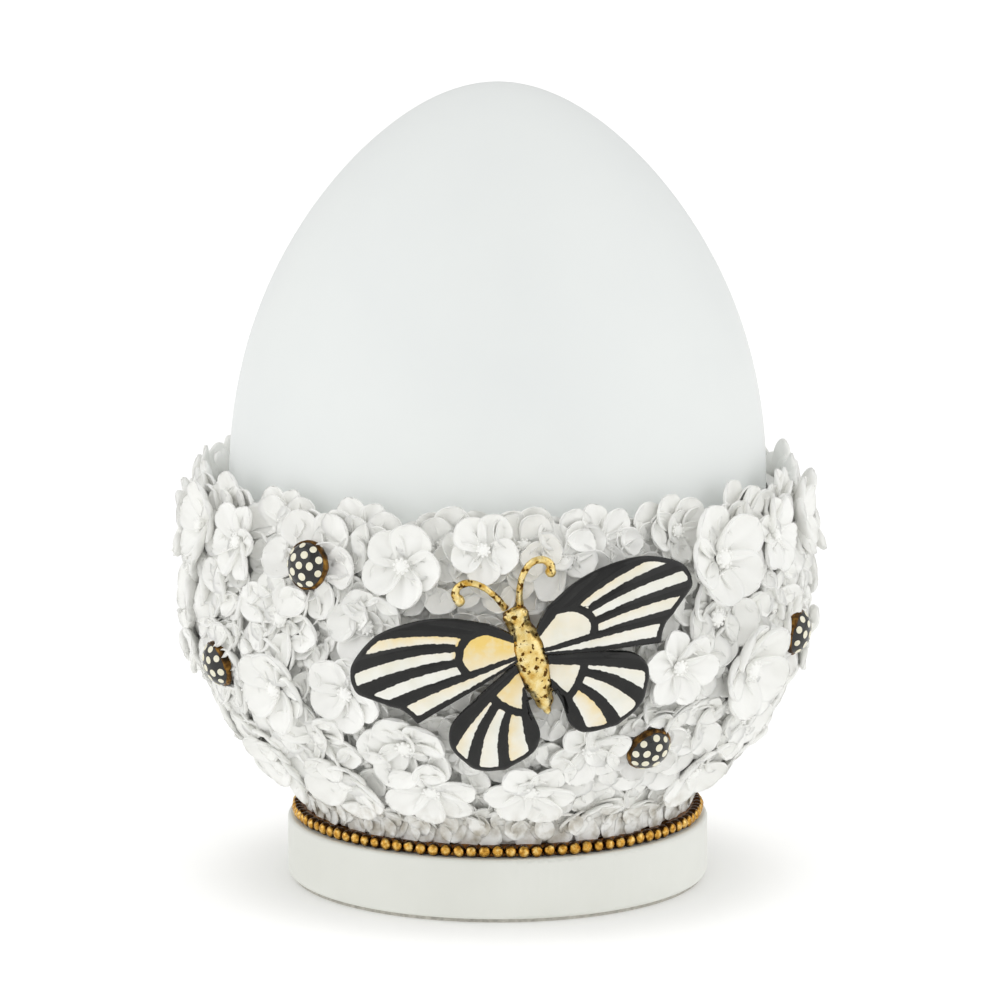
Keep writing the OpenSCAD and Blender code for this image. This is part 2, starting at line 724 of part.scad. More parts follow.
module right_hindwing() {
  color("darkgray") wing(hindwing_shares, hindwing_root_shares, 0, false, 0);
}
module left_forewing() {
  color("dimgray") wing(forewing_shares, forewing_root_shares, wing_step, true, wing_droop);
}
module left_hindwing() {
  color("darkgray") wing(hindwing_shares, hindwing_root_shares, 0, true, hindwing_droop);
}

module butterfly_body() {
  rings = len(insect_shares);
  sides = insect_facet_count + 1;
  points = [
    for (s = insect_shares) for (k = [0:insect_facet_count])
      let(w = s[1] * insect_half_w, a = 180 * k / insect_facet_count)
      wrapped(
        [w * cos(a), s[0] * insect_l],
        insect_back_lift + insect_t * s[1] * sin(a)
      )
  ];
  color("gold") {
    polyhedron(points, concat(
      band_faces(rings, sides),
      [[for (k = [sides - 1:-1:0]) k]],
      [[for (k = [0:sides - 1]) (rings - 1) * sides + k]]
    ));
    for (s = peg_place_shares) {
      q = lean_point([0, s * insect_l], insect_lean);
      on_bowl(insect_turn(q.x), insect_h + q.y)
        translate([0, 0, seat_gap])
          cylinder(insect_back_lift + insect_t / 2 - seat_gap, peg_r, peg_r, $fn = fine_fn);
    }
  }
}

module butterfly_antennae() {
  color("gold") for (side = [-1, 1])
    sweep(
      [
        for (i = [0:len(antenna_shares) - 1])
          let(s = antenna_shares[i], k = min(1, i / antenna_rise_steps),
              p = [side * s.x * insect_l, s.y * insect_l])
          wrapped(p, (1 - k) * (insect_back_lift + insect_t) + k * antenna_lift)
      ],
      antenna_r, antenna_sides
    );
}

module egg_shade() {
  crown_in = shade_crown - shade_wall;
  drop_in = shade_drop_h - shade_wall;
  r_in = shade_r - shade_wall;
  outer = concat(
    [
      for (i = [0:egg_steps]) let(a = -rim_turn_out * (1 - i / egg_steps))
        [shade_r * cos(a), shade_drop_h * sin(a)]
    ],
    [for (i = [1:egg_steps]) let(t = i / egg_steps) [egg_r(t, shade_r), shade_crown * sin(90 * t)]]
  );
  inner = concat(
    [
      for (i = [egg_steps:-1:0]) let(t = i / egg_steps)
        [egg_r(t, r_in), crown_in * sin(90 * t)]
    ],
    [
      for (i = [1:egg_steps]) let(a = -rim_turn_in * i / egg_steps)
        [r_in * cos(a), drop_in * sin(a)]
    ]
  );
  color("aliceblue") translate([0, 0, shade_level]) rotate_extrude() polygon(concat(outer, inner));
}

module shade_gasket() {
  color("lightgray") rotate_extrude() translate([gasket_r_in, seat_top])
    square([rim_outer_r - gasket_r_in, gasket_t]);
}

module shade_seat() {
  color("white") difference() {
    rotate_extrude() {
      translate([seat_r_in, floor_top]) square([seat_r_out - seat_r_in, seat_t]);
      translate([seat_r_in, floor_top]) square([collar_t, seat_t + collar_h]);
    }
    for (a = three_turns) rotate([0, 0, a]) translate([seat_screw_r, 0, floor_top - over])
      cylinder(seat_t + 2 * over, screw_r + screw_clear, screw_r + screw_clear);
  }
}

// A pan-head screw, its head's underside at the origin and its shank down
module screw(reach) {
  cylinder(screw_head_h, screw_head_r, screw_head_r * head_top_share, $fn = fine_fn);
  translate([0, 0, -reach]) cylinder(reach + screw_head_h / 2, screw_r, screw_r, $fn = fine_fn);
}
module seat_screws() {
  color("silver") for (a = three_turns) rotate([0, 0, a]) translate([seat_screw_r, 0, seat_top])
    screw(seat_t + bowl_floor_t / 2);
}

module lamp_carrier() {
  color("white") difference() {
    union() {
      translate([0, 0, floor_top]) cylinder(carrier_t, carrier_foot_r, carrier_foot_r);
      translate([0, 0, floor_top]) cylinder(carrier_h, carrier_r, carrier_r);
      translate([0, 0, board_under - carrier_t]) cylinder(carrier_t, board_r, board_r);
    }
    translate([0, 0, floor_top - over])
      cylinder(carrier_h + 2 * over, carrier_r - carrier_t, carrier_r - carrier_t);
    for (a = three_turns) rotate([0, 0, a]) {
      translate([(carrier_r + carrier_foot_r) / 2, 0, floor_top - over])
        cylinder(carrier_t + 2 * over, screw_r + screw_clear, screw_r + screw_clear);
      translate([(carrier_r + board_r) / 2, 0, board_under - carrier_t - over])
        cylinder(carrier_t + 2 * over, screw_r * small_screw_share, screw_r * small_screw_share);
    }
  }
}
module carrier_screws() {
  color("silver") for (a = three_turns) rotate([0, 0, a])
    translate([(carrier_r + carrier_foot_r) / 2, 0, floor_top + carrier_t])
      screw(carrier_t + bowl_floor_t / 2);
}
module lamp_board() {
  color("seagreen") difference() {
    translate([0, 0, board_under]) cylinder(board_t, board_r, board_r);
    for (a = three_turns) rotate([0, 0, a])
      translate([(carrier_r + board_r) / 2, 0, board_under - over])
        cylinder(board_t + 2 * over, screw_r * small_hole_share, screw_r * small_hole_share);
  }
}
module board_screws() {
  r = screw_r * small_screw_share;
  color("silver") for (a = three_turns) rotate([0, 0, a])
    translate([(carrier_r + board_r) / 2, 0, board_top]) {
      cylinder(screw_head_h * flat_head_share, screw_r, screw_r, $fn = fine_fn);
      translate([0, 0, -board_t - carrier_t])
        cylinder(board_t + carrier_t + over, r, r, $fn = fine_fn);
    }
}
module lamps() {
  ring = lamp_r * lamp_ring_share;
  rim = lamp_r * lamp_rim_share;
  color("lightyellow") for (i = [0:lamp_count - 1])
    rotate([0, 0, lamp_start + 360 * i / lamp_count]) translate([ring, 0, board_top]) {
      cylinder(lamp_r * lamp_rim_h_share, rim, rim, $fn = fine_fn);
      cylinder(lamp_h - lamp_r, lamp_r, lamp_r, $fn = fine_fn);
      translate([0, 0, lamp_h - lamp_r]) sphere(lamp_r, $fn = fine_fn);
    }
}
module lead_grommet() {
  t = bowl_floor_t;
  body_r = grommet_r - seat_gap;
  lip_r = min(grommet_r + grommet_lip, carrier_r - carrier_t - touch_gap);
  color("dimgray") rotate_extrude() difference() {
    union() {
      translate([0, floor_under]) square([body_r, t]);
      translate([0, floor_under - grommet_lip_t]) square([lip_r, grommet_lip_t]);
      translate([0, floor_top]) square([lip_r, grommet_lip_t]);
    }
    translate([0, floor_under - bowl_hollow_h]) square([grommet_bore_r, t + 2 * bowl_hollow_h]);
  }
}
module bowl_screws() {
  color("silver") for (a = bowl_screw_turns) rotate([0, 0, a])
    translate([bowl_screw_r, 0, plinth_top - flange_t]) rotate([180, 0, 0])
      screw(flange_t + screw_bite - over);
}

module base_cover() {
  frame_w = door_w + 2 * cover_gap + 2 * ear_t + 2 * ledge_w;
  hole_w = door_w + 2 * cover_gap;
  hole_y = hinge_y - hinge_boss_r - cover_gap;
  hole_l = door_tip_y + cover_gap - hole_y;
  color("white") difference() {
    union() {
      translate([0, 0, cover_under]) cylinder(cover_t, cover_r, cover_r);
      translate([-frame_w / 2 + ledge_w, hole_y - ledge_w, cover_under + over])
        cube([frame_w - 2 * ledge_w, hole_l + 2 * ledge_w, cover_t - over + ledge_t]);
      translate([-box_out_w / 2, -box_out_l / 2, cover_top])
        cube([box_out_w, box_out_l, box_top - cover_top]);
      for (s = [-1, 1]) translate([s * (hole_w + ear_t) / 2 - ear_t / 2, hinge_y, hinge_z])
        rotate([0, 90, 0]) cylinder(ear_t, hinge_boss_r + cover_gap, hinge_boss_r + cover_gap);
      translate([0, door_screw_y, cover_top])
        cylinder(screw_bite + box_wall, screw_head_r, screw_head_r);
    }
    translate([-hole_w / 2, hole_y, cover_under - over]) cube([hole_w, hole_l, cover_t + over]);
    translate([-hole_w / 2, hole_y, cover_top - over])
      cube([hole_w, -box_out_l / 2 - hole_y, ledge_t + over + hinge_boss_r * 2]);
    translate([-box_in_w / 2, -box_in_l / 2, cover_under - over])
      cube([box_in_w, box_in_l, box_top - box_wall - cover_under + over]);
    for (s = [-1, 1]) translate([s * (hole_w / 2 - over), hinge_y, hinge_z])
      rotate([0, s * 90, 0]) cylinder(pivot_l + over, pivot_hole_r, pivot_hole_r);
    translate([0, door_screw_y, cover_under])
      cylinder(cover_t + screw_bite, screw_r + screw_clear, screw_r + screw_clear);
    for (a = cover_screw_turns) rotate([0, 0, a])
      translate([cover_screw_r, 0, cover_under - over])
        cylinder(cover_t + 2 * over, screw_r + screw_clear, screw_r + screw_clear);
    for (p = tab_places) translate([p.x, p.y, box_top - box_wall - over])
      linear_extrude(box_wall + 2 * over)
        square([tab_w + 2 * slider_gap, contact_t + 2 * slider_gap], center = true);
    translate([switch_x, 0, cover_under - over])
      linear_extrude(cover_t + 2 * over)
        square([thumb_w + 2 * slider_gap, thumb_l + switch_travel + 2 * slider_gap], center = true);
  }
}
module cover_screws() {
  color("silver") for (a = cover_screw_turns) rotate([0, 0, a])
    translate([cover_screw_r, 0, cover_under]) rotate([180, 0, 0]) screw_flush();
}
module screw_flush() {
  cylinder(screw_head_h * flat_head_share, screw_head_r, screw_head_r * head_top_share, $fn = fine_fn);
  translate([0, 0, -cover_t - screw_bite + over])
    cylinder(cover_t + screw_bite - over + screw_head_h / 4, screw_r, screw_r, $fn = fine_fn);
}

module batteries() {
  color("olive") for (i = [0:cell_count - 1])
    translate([cell_x(i), cell_way(i) * (cell_end - cell_l), cell_z])
      rotate([-90 * cell_way(i), 0, 0]) {
        cylinder(cell_l - cell_button_l, cell_r, cell_r);
        cylinder(cell_l, cell_button_r, cell_button_r);
      }
}
module battery_springs() {
  l = spring_space - 2 * touch_gap - 2 * spring_wire_r;
  n = spring_turns * spring_steps;
  color("silver") for (i = [0:cell_count - 1])
    translate([cell_x(i), -cell_way(i) * (cell_end + cell_gap / 2), cell_z])
      rotate([-90 * cell_way(i), 0, 0])
        translate([0, 0, touch_gap + spring_wire_r - cell_gap / 2])
          sweep(
            [
              for (k = [0:n]) let(t = k / n, a = 360 * k / spring_steps)
                polar(cell_r * (spring_base_share + spring_taper_share * t), a, l * t)
            ],
            spring_wire_r, spring_sides
          );
}
module battery_contacts() {
  color("silver") {
    for (end = [-1, 1]) for (i = [0:cell_count - 1])
      translate([cell_x(i), end * contact_y, cell_z])
        cube([contact_w, contact_t, contact_w], center = true);
    for (i = [0:cell_count - 2])
      translate([cell_x(i), -cell_way(i) * contact_y - contact_t / 2, cell_z - contact_w / 4])
        cube([cell_pitch, contact_t, contact_w / 2]);
    for (p = tab_places) translate([p.x - tab_w / 2, p.y - contact_t / 2, cell_z])
      cube([tab_w, contact_t, box_top + tab_rise - cell_z]);
  }
}

module battery_door() {
  w = door_w;
  color("white") difference() {
    union() {
      translate([-w / 2, hinge_y, cover_under]) cube([w, door_tip_y - hinge_y, cover_t]);
      translate([-w / 2, hinge_y, hinge_z]) rotate([0, 90, 0])
        cylinder(w, hinge_boss_r, hinge_boss_r);
      translate([-w / 2 - pivot_l - cover_gap / 2, hinge_y, hinge_z]) rotate([0, 90, 0])
        cylinder(w + 2 * pivot_l + cover_gap, pivot_r, pivot_r);
    }
    translate([0, door_screw_y, cover_under - over])
      cylinder(cover_t + 2 * over, screw_r + seat_gap, screw_r + seat_gap);
  }
}
module door_screw() {
  color("silver") translate([0, door_screw_y, cover_under]) rotate([180, 0, 0]) screw_flush();
}

module switch_body() {
  slot_w = slider_w + 2 * slider_gap;
  slot_l = slider_l + switch_travel + 2 * slider_gap;
  color("dimgray") difference() {
    union() {
      translate([switch_x - switch_w / 2, -switch_l / 2, cover_top])
        cube([switch_w, switch_l, switch_h]);
      for (s = [-1, 0, 1])
        translate([switch_x, s * switch_l / 3, cover_top + switch_h])
          linear_extrude(pin_l) square([pin_w, pin_w * pin_t_share], center = true);
    }
    translate([switch_x - slot_w / 2, -slot_l / 2, cover_top - over])
      cube([slot_w, slot_l, slider_t + 2 * slider_gap + over]);
  }
}
module switch_slider() {
  start = -switch_travel / 2;
  post = cover_top - cover_under + thumb_inset + slider_gap;
  color("black") {
    translate([switch_x, start, cover_top + slider_gap]) linear_extrude(slider_t)
      square([slider_w, slider_l], center = true);
    translate([switch_x, start, cover_under - thumb_inset]) linear_extrude(post + over)
      square([thumb_w, thumb_l], center = true);
  }
}

// Leads: from the battery tabs and the switch up through the grommet to the lamp board
module lamp_leads() {
  minus = tab_places[1];
  color("red") sweep(
    rounded([
      [switch_x, 0, pin_top], [switch_x, 0, run_z], [lead_x, 0, run_z],
      [lead_x, 0, floor_under - grommet_lip_t], [lead_x, 0, lead_top]
    ]),
    lead_r, lead_sides
  );
  color("black") sweep(
    rounded([
      [minus.x, minus.y, tab_top], [minus.x, minus.y, run_z], [-lead_x, 0, run_z],
      [-lead_x, 0, floor_under - grommet_lip_t], [-lead_x, 0, lead_top]
    ]),
    lead_r, lead_sides
  );
}
module battery_lead() {
  plus = tab_places[0];
  y = switch_l / 3;
  color("red") sweep(
    rounded([
      [plus.x, plus.y, tab_top], [plus.x, plus.y, run_z], [plus.x / 2, plus.y, run_z],
      [switch_x, y, run_z], [switch_x, y, pin_top]
    ]),
    lead_r, lead_sides
  );
}

plinth();
foot_felt();
trim_band();
trim_beads();
flower_bowl();
crown_blossoms();
rim_blossoms();
shoulder_blossoms();
middle_blossoms();
waist_blossoms();
lower_blossoms();
foot_blossoms();
dome_studs();
butterfly_body();
butterfly_antennae();
right_forewing();
right_hindwing();
left_forewing();
left_hindwing();
egg_shade();
shade_gasket();
shade_seat();
seat_screws();
lamp_carrier();
carrier_screws();
lamp_board();
board_screws();
lamps();
lead_grommet();
bowl_screws();
base_cover();
cover_screws();
batteries();
battery_springs();
battery_contacts();
battery_door();
door_screw();
switch_body();
switch_slider();
lamp_leads();
battery_lead();
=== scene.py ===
import math
import random

import bmesh
import bpy
from mathutils import Matrix, Vector


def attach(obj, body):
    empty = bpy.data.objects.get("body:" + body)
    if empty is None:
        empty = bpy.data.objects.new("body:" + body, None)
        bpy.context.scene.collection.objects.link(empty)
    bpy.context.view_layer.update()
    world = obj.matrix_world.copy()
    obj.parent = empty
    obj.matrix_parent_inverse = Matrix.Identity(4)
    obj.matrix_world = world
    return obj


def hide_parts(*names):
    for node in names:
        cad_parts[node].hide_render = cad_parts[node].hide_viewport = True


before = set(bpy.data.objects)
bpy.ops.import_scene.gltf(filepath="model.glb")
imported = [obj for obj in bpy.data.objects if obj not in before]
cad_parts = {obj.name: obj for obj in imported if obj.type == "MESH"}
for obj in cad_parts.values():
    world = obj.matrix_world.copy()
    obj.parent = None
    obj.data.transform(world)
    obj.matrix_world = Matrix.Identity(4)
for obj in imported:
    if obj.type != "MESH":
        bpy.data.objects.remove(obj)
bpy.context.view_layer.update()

# Photo studio: the camera of the picture, 1.3 m in front of the egg and looking slightly
# down, on a pale table under large soft lamps. Nothing here belongs to the object.
camera_place = (0, -1.3, 0.3281)
camera_tilt = math.radians(80.4)
bpy.ops.object.select_all(action="DESELECT")
bpy.ops.object.camera_add(location=camera_place, rotation=(camera_tilt, 0, 0))
camera = bpy.context.object
camera.data.lens = 166.2
camera.data.sensor_width = 36
camera.data.shift_x = 0.0023
camera.data.shift_y = 0.0015
camera.data.clip_end = 60
bpy.context.scene.camera = camera
bpy.context.scene.view_settings.view_transform = "Standard"


def linear(hex_colour):
    """Turns an sRGB hex colour into the linear values that shaders take."""
    parts = [int(hex_colour[i:i + 2], 16) / 255 for i in (1, 3, 5)]
    return [p / 12.92 if p <= 0.04045 else ((p + 0.055) / 1.055) ** 2.4 for p in parts] + [1]


def fill(tree, socket, value):
    """Links a node's first output or another socket to a socket, or sets it to a value."""
    if isinstance(value, bpy.types.Node):
        value = next(s for s in value.outputs if s.enabled)
    if isinstance(value, bpy.types.NodeSocket):
        tree.links.new(value, socket)
    else:
        socket.default_value = value


def add(tree, kind, inputs=(), stops=(), **settings):
    """Adds a shader node, makes its settings and fills its inputs, which are listed in
    their order or given by name. A colour ramp has stops of a place and a hex colour."""
    node = tree.nodes.new(kind)
    for name, value in settings.items():
        setattr(node, name, value)
    in_order = [s for s in node.inputs if s.enabled]
    for key, value in inputs.items() if isinstance(inputs, dict) else enumerate(inputs):
        fill(tree, in_order[key] if isinstance(key, int) else node.inputs[key], value)
    for _ in stops[2:]:
        node.color_ramp.elements.new(0.5)
    for i, (where, colour) in enumerate(stops):
        node.color_ramp.elements[i].position = where
        node.color_ramp.elements[i].color = linear(colour)
    return node


# Paper sweep: a diffuse white table. Its faint glow stands for the light that a wide sweep
# throws back at the object. The camera sees the glow strengthened away from the object,
# where the picture is white, and weakened close to it, which paints a darker shadow round
# the object's foot over the rendered one. The distances are from the axis, in metres.
bounce = 0.22
shadow_r, white_r = 0.055, 0.1
shadow_glow, white_glow = -0.16, 0.1
paper = bpy.data.materials.new("studio paper")
paper.use_nodes = True
tree = paper.node_tree
tree.nodes.clear()
matt = add(tree, "ShaderNodeBsdfDiffuse", {"Color": linear("#f4f4f3")})
seen = add(tree, "ShaderNodeLightPath").outputs["Is Camera Ray"]
spot = add(tree, "ShaderNodeTexCoord").outputs["Object"]
reach = add(tree, "ShaderNodeVectorMath", [spot], operation="LENGTH")
# Painted shadow: the glow that the camera sees falls off near the axis, between these distances.
spread = add(tree, "ShaderNodeMapRange", [reach, shadow_r, white_r, shadow_glow, white_glow],
    interpolation_type="SMOOTHSTEP")
glow = add(tree, "ShaderNodeMath", [seen, spread, bounce], operation="MULTIPLY_ADD")
light = add(tree, "ShaderNodeEmission", {"Color": (1, 1, 1, 1), "Strength": glow})
both = add(tree, "ShaderNodeAddShader", [matt, light])
add(tree, "ShaderNodeOutputMaterial", {"Surface": both})
bpy.ops.object.select_all(action="DESELECT")
bpy.ops.mesh.primitive_plane_add(size=30)
table = bpy.context.object
table.name = "studio_table"
table.data.materials.append(paper)

# Studio air: white where the camera looks into it, also through glass, and dimmer as a
# light on the object, so that its pale surfaces keep their colour.
dim_air = 0.7
world = bpy.data.worlds.new("studio air")
bpy.context.scene.world = world
world.use_nodes = True
tree = world.node_tree
tree.nodes.clear()
path = add(tree, "ShaderNodeLightPath")
direct = add(tree, "ShaderNodeMath", [path.outputs["Is Camera Ray"],
    path.outputs["Is Transmission Ray"]], operation="MAXIMUM")
level = add(tree, "ShaderNodeMapRange", [direct, 0, 1, dim_air, 1])
air = add(tree, "ShaderNodeBackground", {"Color": (1, 1, 1, 1), "Strength": level})
add(tree, "ShaderNodeOutputWorld", {"Surface": air})

# Soft lamps at both sides and in front: turn, tilt from overhead, spread and strength
for turn, tilt, wide, strength in ((-72, 64, 70, 0.7), (72, 64, 70, 0.66), (0, 82, 60, 0.16)):
    bpy.ops.object.select_all(action="DESELECT")
    bpy.ops.object.light_add(type="SUN", rotation=(math.radians(tilt), 0, math.radians(turn)))
    bpy.context.object.data.angle = math.radians(wide)
    bpy.context.object.data.energy = strength

# Plinth: a cast resin ring with softened edges, sprayed with satin white paint. It is
# the lowest visible piece and carries the bowl on its flange.
mm = 0.001


def alone():
    """Leaves edit mode and deselects everything, so that the next tool starts clean."""
    if bpy.context.object and bpy.context.object.mode != "OBJECT":
        bpy.ops.object.mode_set(mode="OBJECT")
    bpy.ops.object.select_all(action="DESELECT")


def only(piece):
    """Selects one piece and makes it the active one."""
    alone()
    piece.select_set(True)
    bpy.context.view_layer.objects.active = piece


def blank(name):
    """A new material with its tree, its surface shader and its object coordinates."""
    made = bpy.data.materials.new(name)
    made.use_nodes = True
    tree = made.node_tree
    tree.nodes.clear()
    shader = add(tree, "ShaderNodeBsdfPrincipled")
    add(tree, "ShaderNodeOutputMaterial", {"Surface": shader})
    place = add(tree, "ShaderNodeTexCoord").outputs["Object"]
    return made, tree, shader, place


def surface(name, colours, size, rough, grain, metallic=0.0, ior=1.5, detail=4):
    """A material mottled between colours in patches of a size in millimetres. Its roughness
    runs between two values, and its grain has a size and a depth in millimetres, drawn as
    given. A real grain finer than about a tenth of a millimetre is given coarser, so that it shows."""
    made, tree, shader, place = blank(name)
    patches = add(tree, "ShaderNodeTexNoise", [place, 1 / (size * mm), detail])
    tone = add(tree, "ShaderNodeValToRGB", [patches],
        stops=[(0.3 + 0.4 * i / (len(colours) - 1), c) for i, c in enumerate(colours)])
    fine = add(tree, "ShaderNodeTexNoise", [place, 1 / (grain[0] * mm), 3])
    bump = add(tree, "ShaderNodeBump", {"Height": fine, "Strength": 1.0,
        "Distance": grain[1] * mm})
    fill(tree, shader.inputs["Base Color"], tone)
    fill(tree, shader.inputs["Roughness"],
        add(tree, "ShaderNodeMapRange", [fine, 0.3, 0.7, rough[0], rough[1]]))
    fill(tree, shader.inputs["Normal"], bump)
    shader.inputs["Metallic"].default_value = metallic
    shader.inputs["IOR"].default_value = ior
    return made, tree, shader, place, tone


def finished(piece, body, material, replaces=()):
    """Gives a piece its material and its body, and hides the CAD nodes that it stands for."""
    if material:
        piece.data.materials.clear()
        piece.data.materials.append(material)
    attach(piece, body)
    if replaces:
        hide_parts(*replaces)
    return piece


def refined(name, body, material, edge=0.0):
    """A copy of a CAD node, welded, with its sharp edges rounded and its curves smooth."""
    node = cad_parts[name]
    copy = node.copy()
    copy.data = node.data.copy()
    bpy.context.scene.collection.objects.link(copy)
    copy.parent = None
    copy.matrix_world = node.matrix_world.copy()
    copy.name = "fine_" + name
    only(copy)
    bpy.ops.object.transform_apply(location=True, rotation=True, scale=True)
    bpy.ops.object.mode_set(mode="EDIT")
    bpy.ops.mesh.select_all(action="SELECT")
    bpy.ops.mesh.remove_doubles(threshold=0.002 * mm)
    bpy.ops.mesh.dissolve_limited(angle_limit=math.radians(0.5))
    bpy.ops.mesh.normals_make_consistent(inside=False)
    bpy.ops.object.mode_set(mode="OBJECT")
    if edge:
        bpy.ops.object.modifier_add(type="BEVEL")
        bevel = copy.modifiers[-1]
        bevel.width = edge * mm
        bevel.segments = 2
        bevel.limit_method = "ANGLE"
        bevel.angle_limit = math.radians(40)
        bpy.ops.object.modifier_apply(modifier=bevel.name)
    bpy.ops.object.shade_smooth_by_angle(angle=math.radians(35))
    return finished(copy, body, material, [name])


# Satin paint: an even, slightly warm white with a soft sheen and a faint orange-peel grain
plinth_paint = surface("satin white paint on cast resin", ["#dcddd6", "#e4e5df"], 40,
    (0.38, 0.46), (0.5, 0.006))[0]
refined("plinth", "base", plinth_paint, 0.15)

# Felt: a ring of pressed wool glued under the plinth, so that it doesn't scratch a table.
# The fibres give it a matt, fuzzy surface without any highlight.
felt = surface("pressed grey wool felt", ["#a3a098", "#b9b6ad", "#c9c6bd"], 1.2, (0.9, 1.0),
    (0.25, 0.12), detail=6)[0]
refined("foot_felt", "base", felt)

# Base cover and battery door: white injection-moulded plastic with a fine spark-eroded
# grain and rounded edges. The cover is screwed up into the plinth, and the door hinges on it.
moulded = surface("moulded white plastic", ["#dcdcd8", "#e4e4e1"], 30, (0.42, 0.55),
    (0.18, 0.012))[0]
refined("base_cover", "base", moulded, 0.2)
refined("battery_door", "door", moulded, 0.2)

# Switch: a stock slide switch in glass-filled black plastic, moulded with a fine grain that
# dulls it, and snapped into the base cover.
black_plastic = surface("glass-filled black plastic", ["#141414", "#1f1f1f"], 6, (0.35, 0.5),
    (0.15, 0.01))[0]
refined("switch_body", "base", black_plastic, 0.1)
refined("switch_slider", "slider", black_plastic, 0.15)

# Batteries: three AA cells, steel cans in a printed plastic sleeve that leaves the ends bare.
# The sleeve is plain glossy grey with a silver band, and the ends are nickel-plated.

# Distances from the cells' middle, in metres
band_from, band_to, sleeve_end, print_edge = 0.0165, 0.0196, 0.0242, 0.0001
wrap, tree, shader, place, tone = surface("sleeved battery can", ["#33363b", "#3f4349"], 12,
    (0.2, 0.3), (0.8, 0.01))
along = add(tree, "ShaderNodeSeparateXYZ", [place]).outputs["Y"]
away = add(tree, "ShaderNodeMath", [along], operation="ABSOLUTE")
begun = add(tree, "ShaderNodeMapRange", [away, band_from, band_from + print_edge])
unended = add(tree, "ShaderNodeMapRange", [away, band_to, band_to - print_edge])
silver = add(tree, "ShaderNodeMath", [begun, unended], operation="MULTIPLY")
banded = add(tree, "ShaderNodeMix", [silver, tone, linear("#b9bbbe")], data_type="RGBA")
bare = add(tree, "ShaderNodeMapRange", [away, sleeve_end, sleeve_end + print_edge])
can = add(tree, "ShaderNodeMix", [bare, banded, linear("#c4c4c2")], data_type="RGBA")
fill(tree, shader.inputs["Base Color"], can)
fill(tree, shader.inputs["Metallic"], bare)
refined("batteries", "base", wrap, 0.3)

# Springs and contact plates: nickel-plated steel wire and strip, pushed into the box.
# Plating is bright, with soft drawing marks and no colour of its own.
nickel = surface("nickel-plated steel", ["#a9a8a5", "#c6c5c2"], 3, (0.22, 0.36), (0.12, 0.004),
    metallic=1.0)[0]
refined("battery_springs", "base", nickel)
refined("battery_contacts", "base", nickel, 0.06)

# Screws: cross-recessed steel pan heads, cold-formed and zinc-plated, which leaves a dull
# silver. One is modelled for each size and copied to every place; the recess is cut in.
zinc = surface("zinc-plated steel", ["#9c9c99", "#b8b8b5"], 1.5, (0.28, 0.42), (0.1, 0.006),
    metallic=1.0)[0]


def shift(by):
    """Moves what is selected."""
    bpy.ops.transform.translate(value=by)


def joined(name, pieces):
    """Joins pieces into one, named, with its origin at the world's."""
    alone()
    for piece in pieces:
        piece.select_set(True)
    bpy.context.view_layer.objects.active = pieces[0]
    if len(pieces) > 1:
        bpy.ops.object.join()
    whole = bpy.context.object
    bpy.ops.object.transform_apply(location=True, rotation=True, scale=True)
    whole.name = name
    return whole


def copied(master, place):
    """A copy of a piece, with its own mesh, moved and turned by a matrix."""
    other = master.copy()
    other.data = master.data.copy()
    other.data.transform(place)
    bpy.context.scene.collection.objects.link(other)
    return other


def spun(angle, axis="Z"):
    """A turn about an axis, in radians."""
    return Matrix.Rotation(angle, 4, axis)


def moved(x, y, z):
    """A move, in metres."""
    return Matrix.Translation((x, y, z))


def applied(piece, kind, **settings):
    """Adds a modifier to a piece, sets it and applies it."""
    only(piece)
    bpy.ops.object.modifier_add(type=kind)
    modifier = piece.modifiers[-1]
    for name, value in settings.items():
        setattr(modifier, name, value)
    bpy.ops.object.modifier_apply(modifier=modifier.name)
    return piece


def smooth(piece, angle=40):
    """Shades a piece smooth where its faces meet at less than an angle in degrees."""
    only(piece)
    bpy.ops.object.shade_smooth_by_angle(angle=math.radians(angle))
    return piece


def turned(name, outline, steps):
    """A lathe-turned piece: an outline of (radius, height) corners in millimetres, drawn
    by extruding a point from corner to corner and spun round the axis."""
    alone()
    bpy.ops.mesh.primitive_plane_add(size=mm, enter_editmode=True)
    bpy.context.object.name = name
    bpy.ops.mesh.select_all(action="SELECT")
    bpy.ops.mesh.merge(type="CENTER")
    corners = [Vector((r * mm, 0, z * mm)) for r, z in outline]
    shift(corners[0])
    for a, b in zip(corners, corners[1:]):
        bpy.ops.mesh.extrude_region_move(TRANSFORM_OT_translate={"value": b - a})
    bpy.ops.mesh.select_all(action="SELECT")
    bpy.ops.mesh.spin(steps=steps, angle=2 * math.pi, center=(0, 0, 0), axis=(0, 0, 1))
    bpy.ops.mesh.select_all(action="SELECT")
    bpy.ops.mesh.remove_doubles(threshold=0.004 * mm)
    bpy.ops.mesh.normals_make_consistent(inside=False)
    bpy.ops.object.mode_set(mode="OBJECT")
    return bpy.context.object


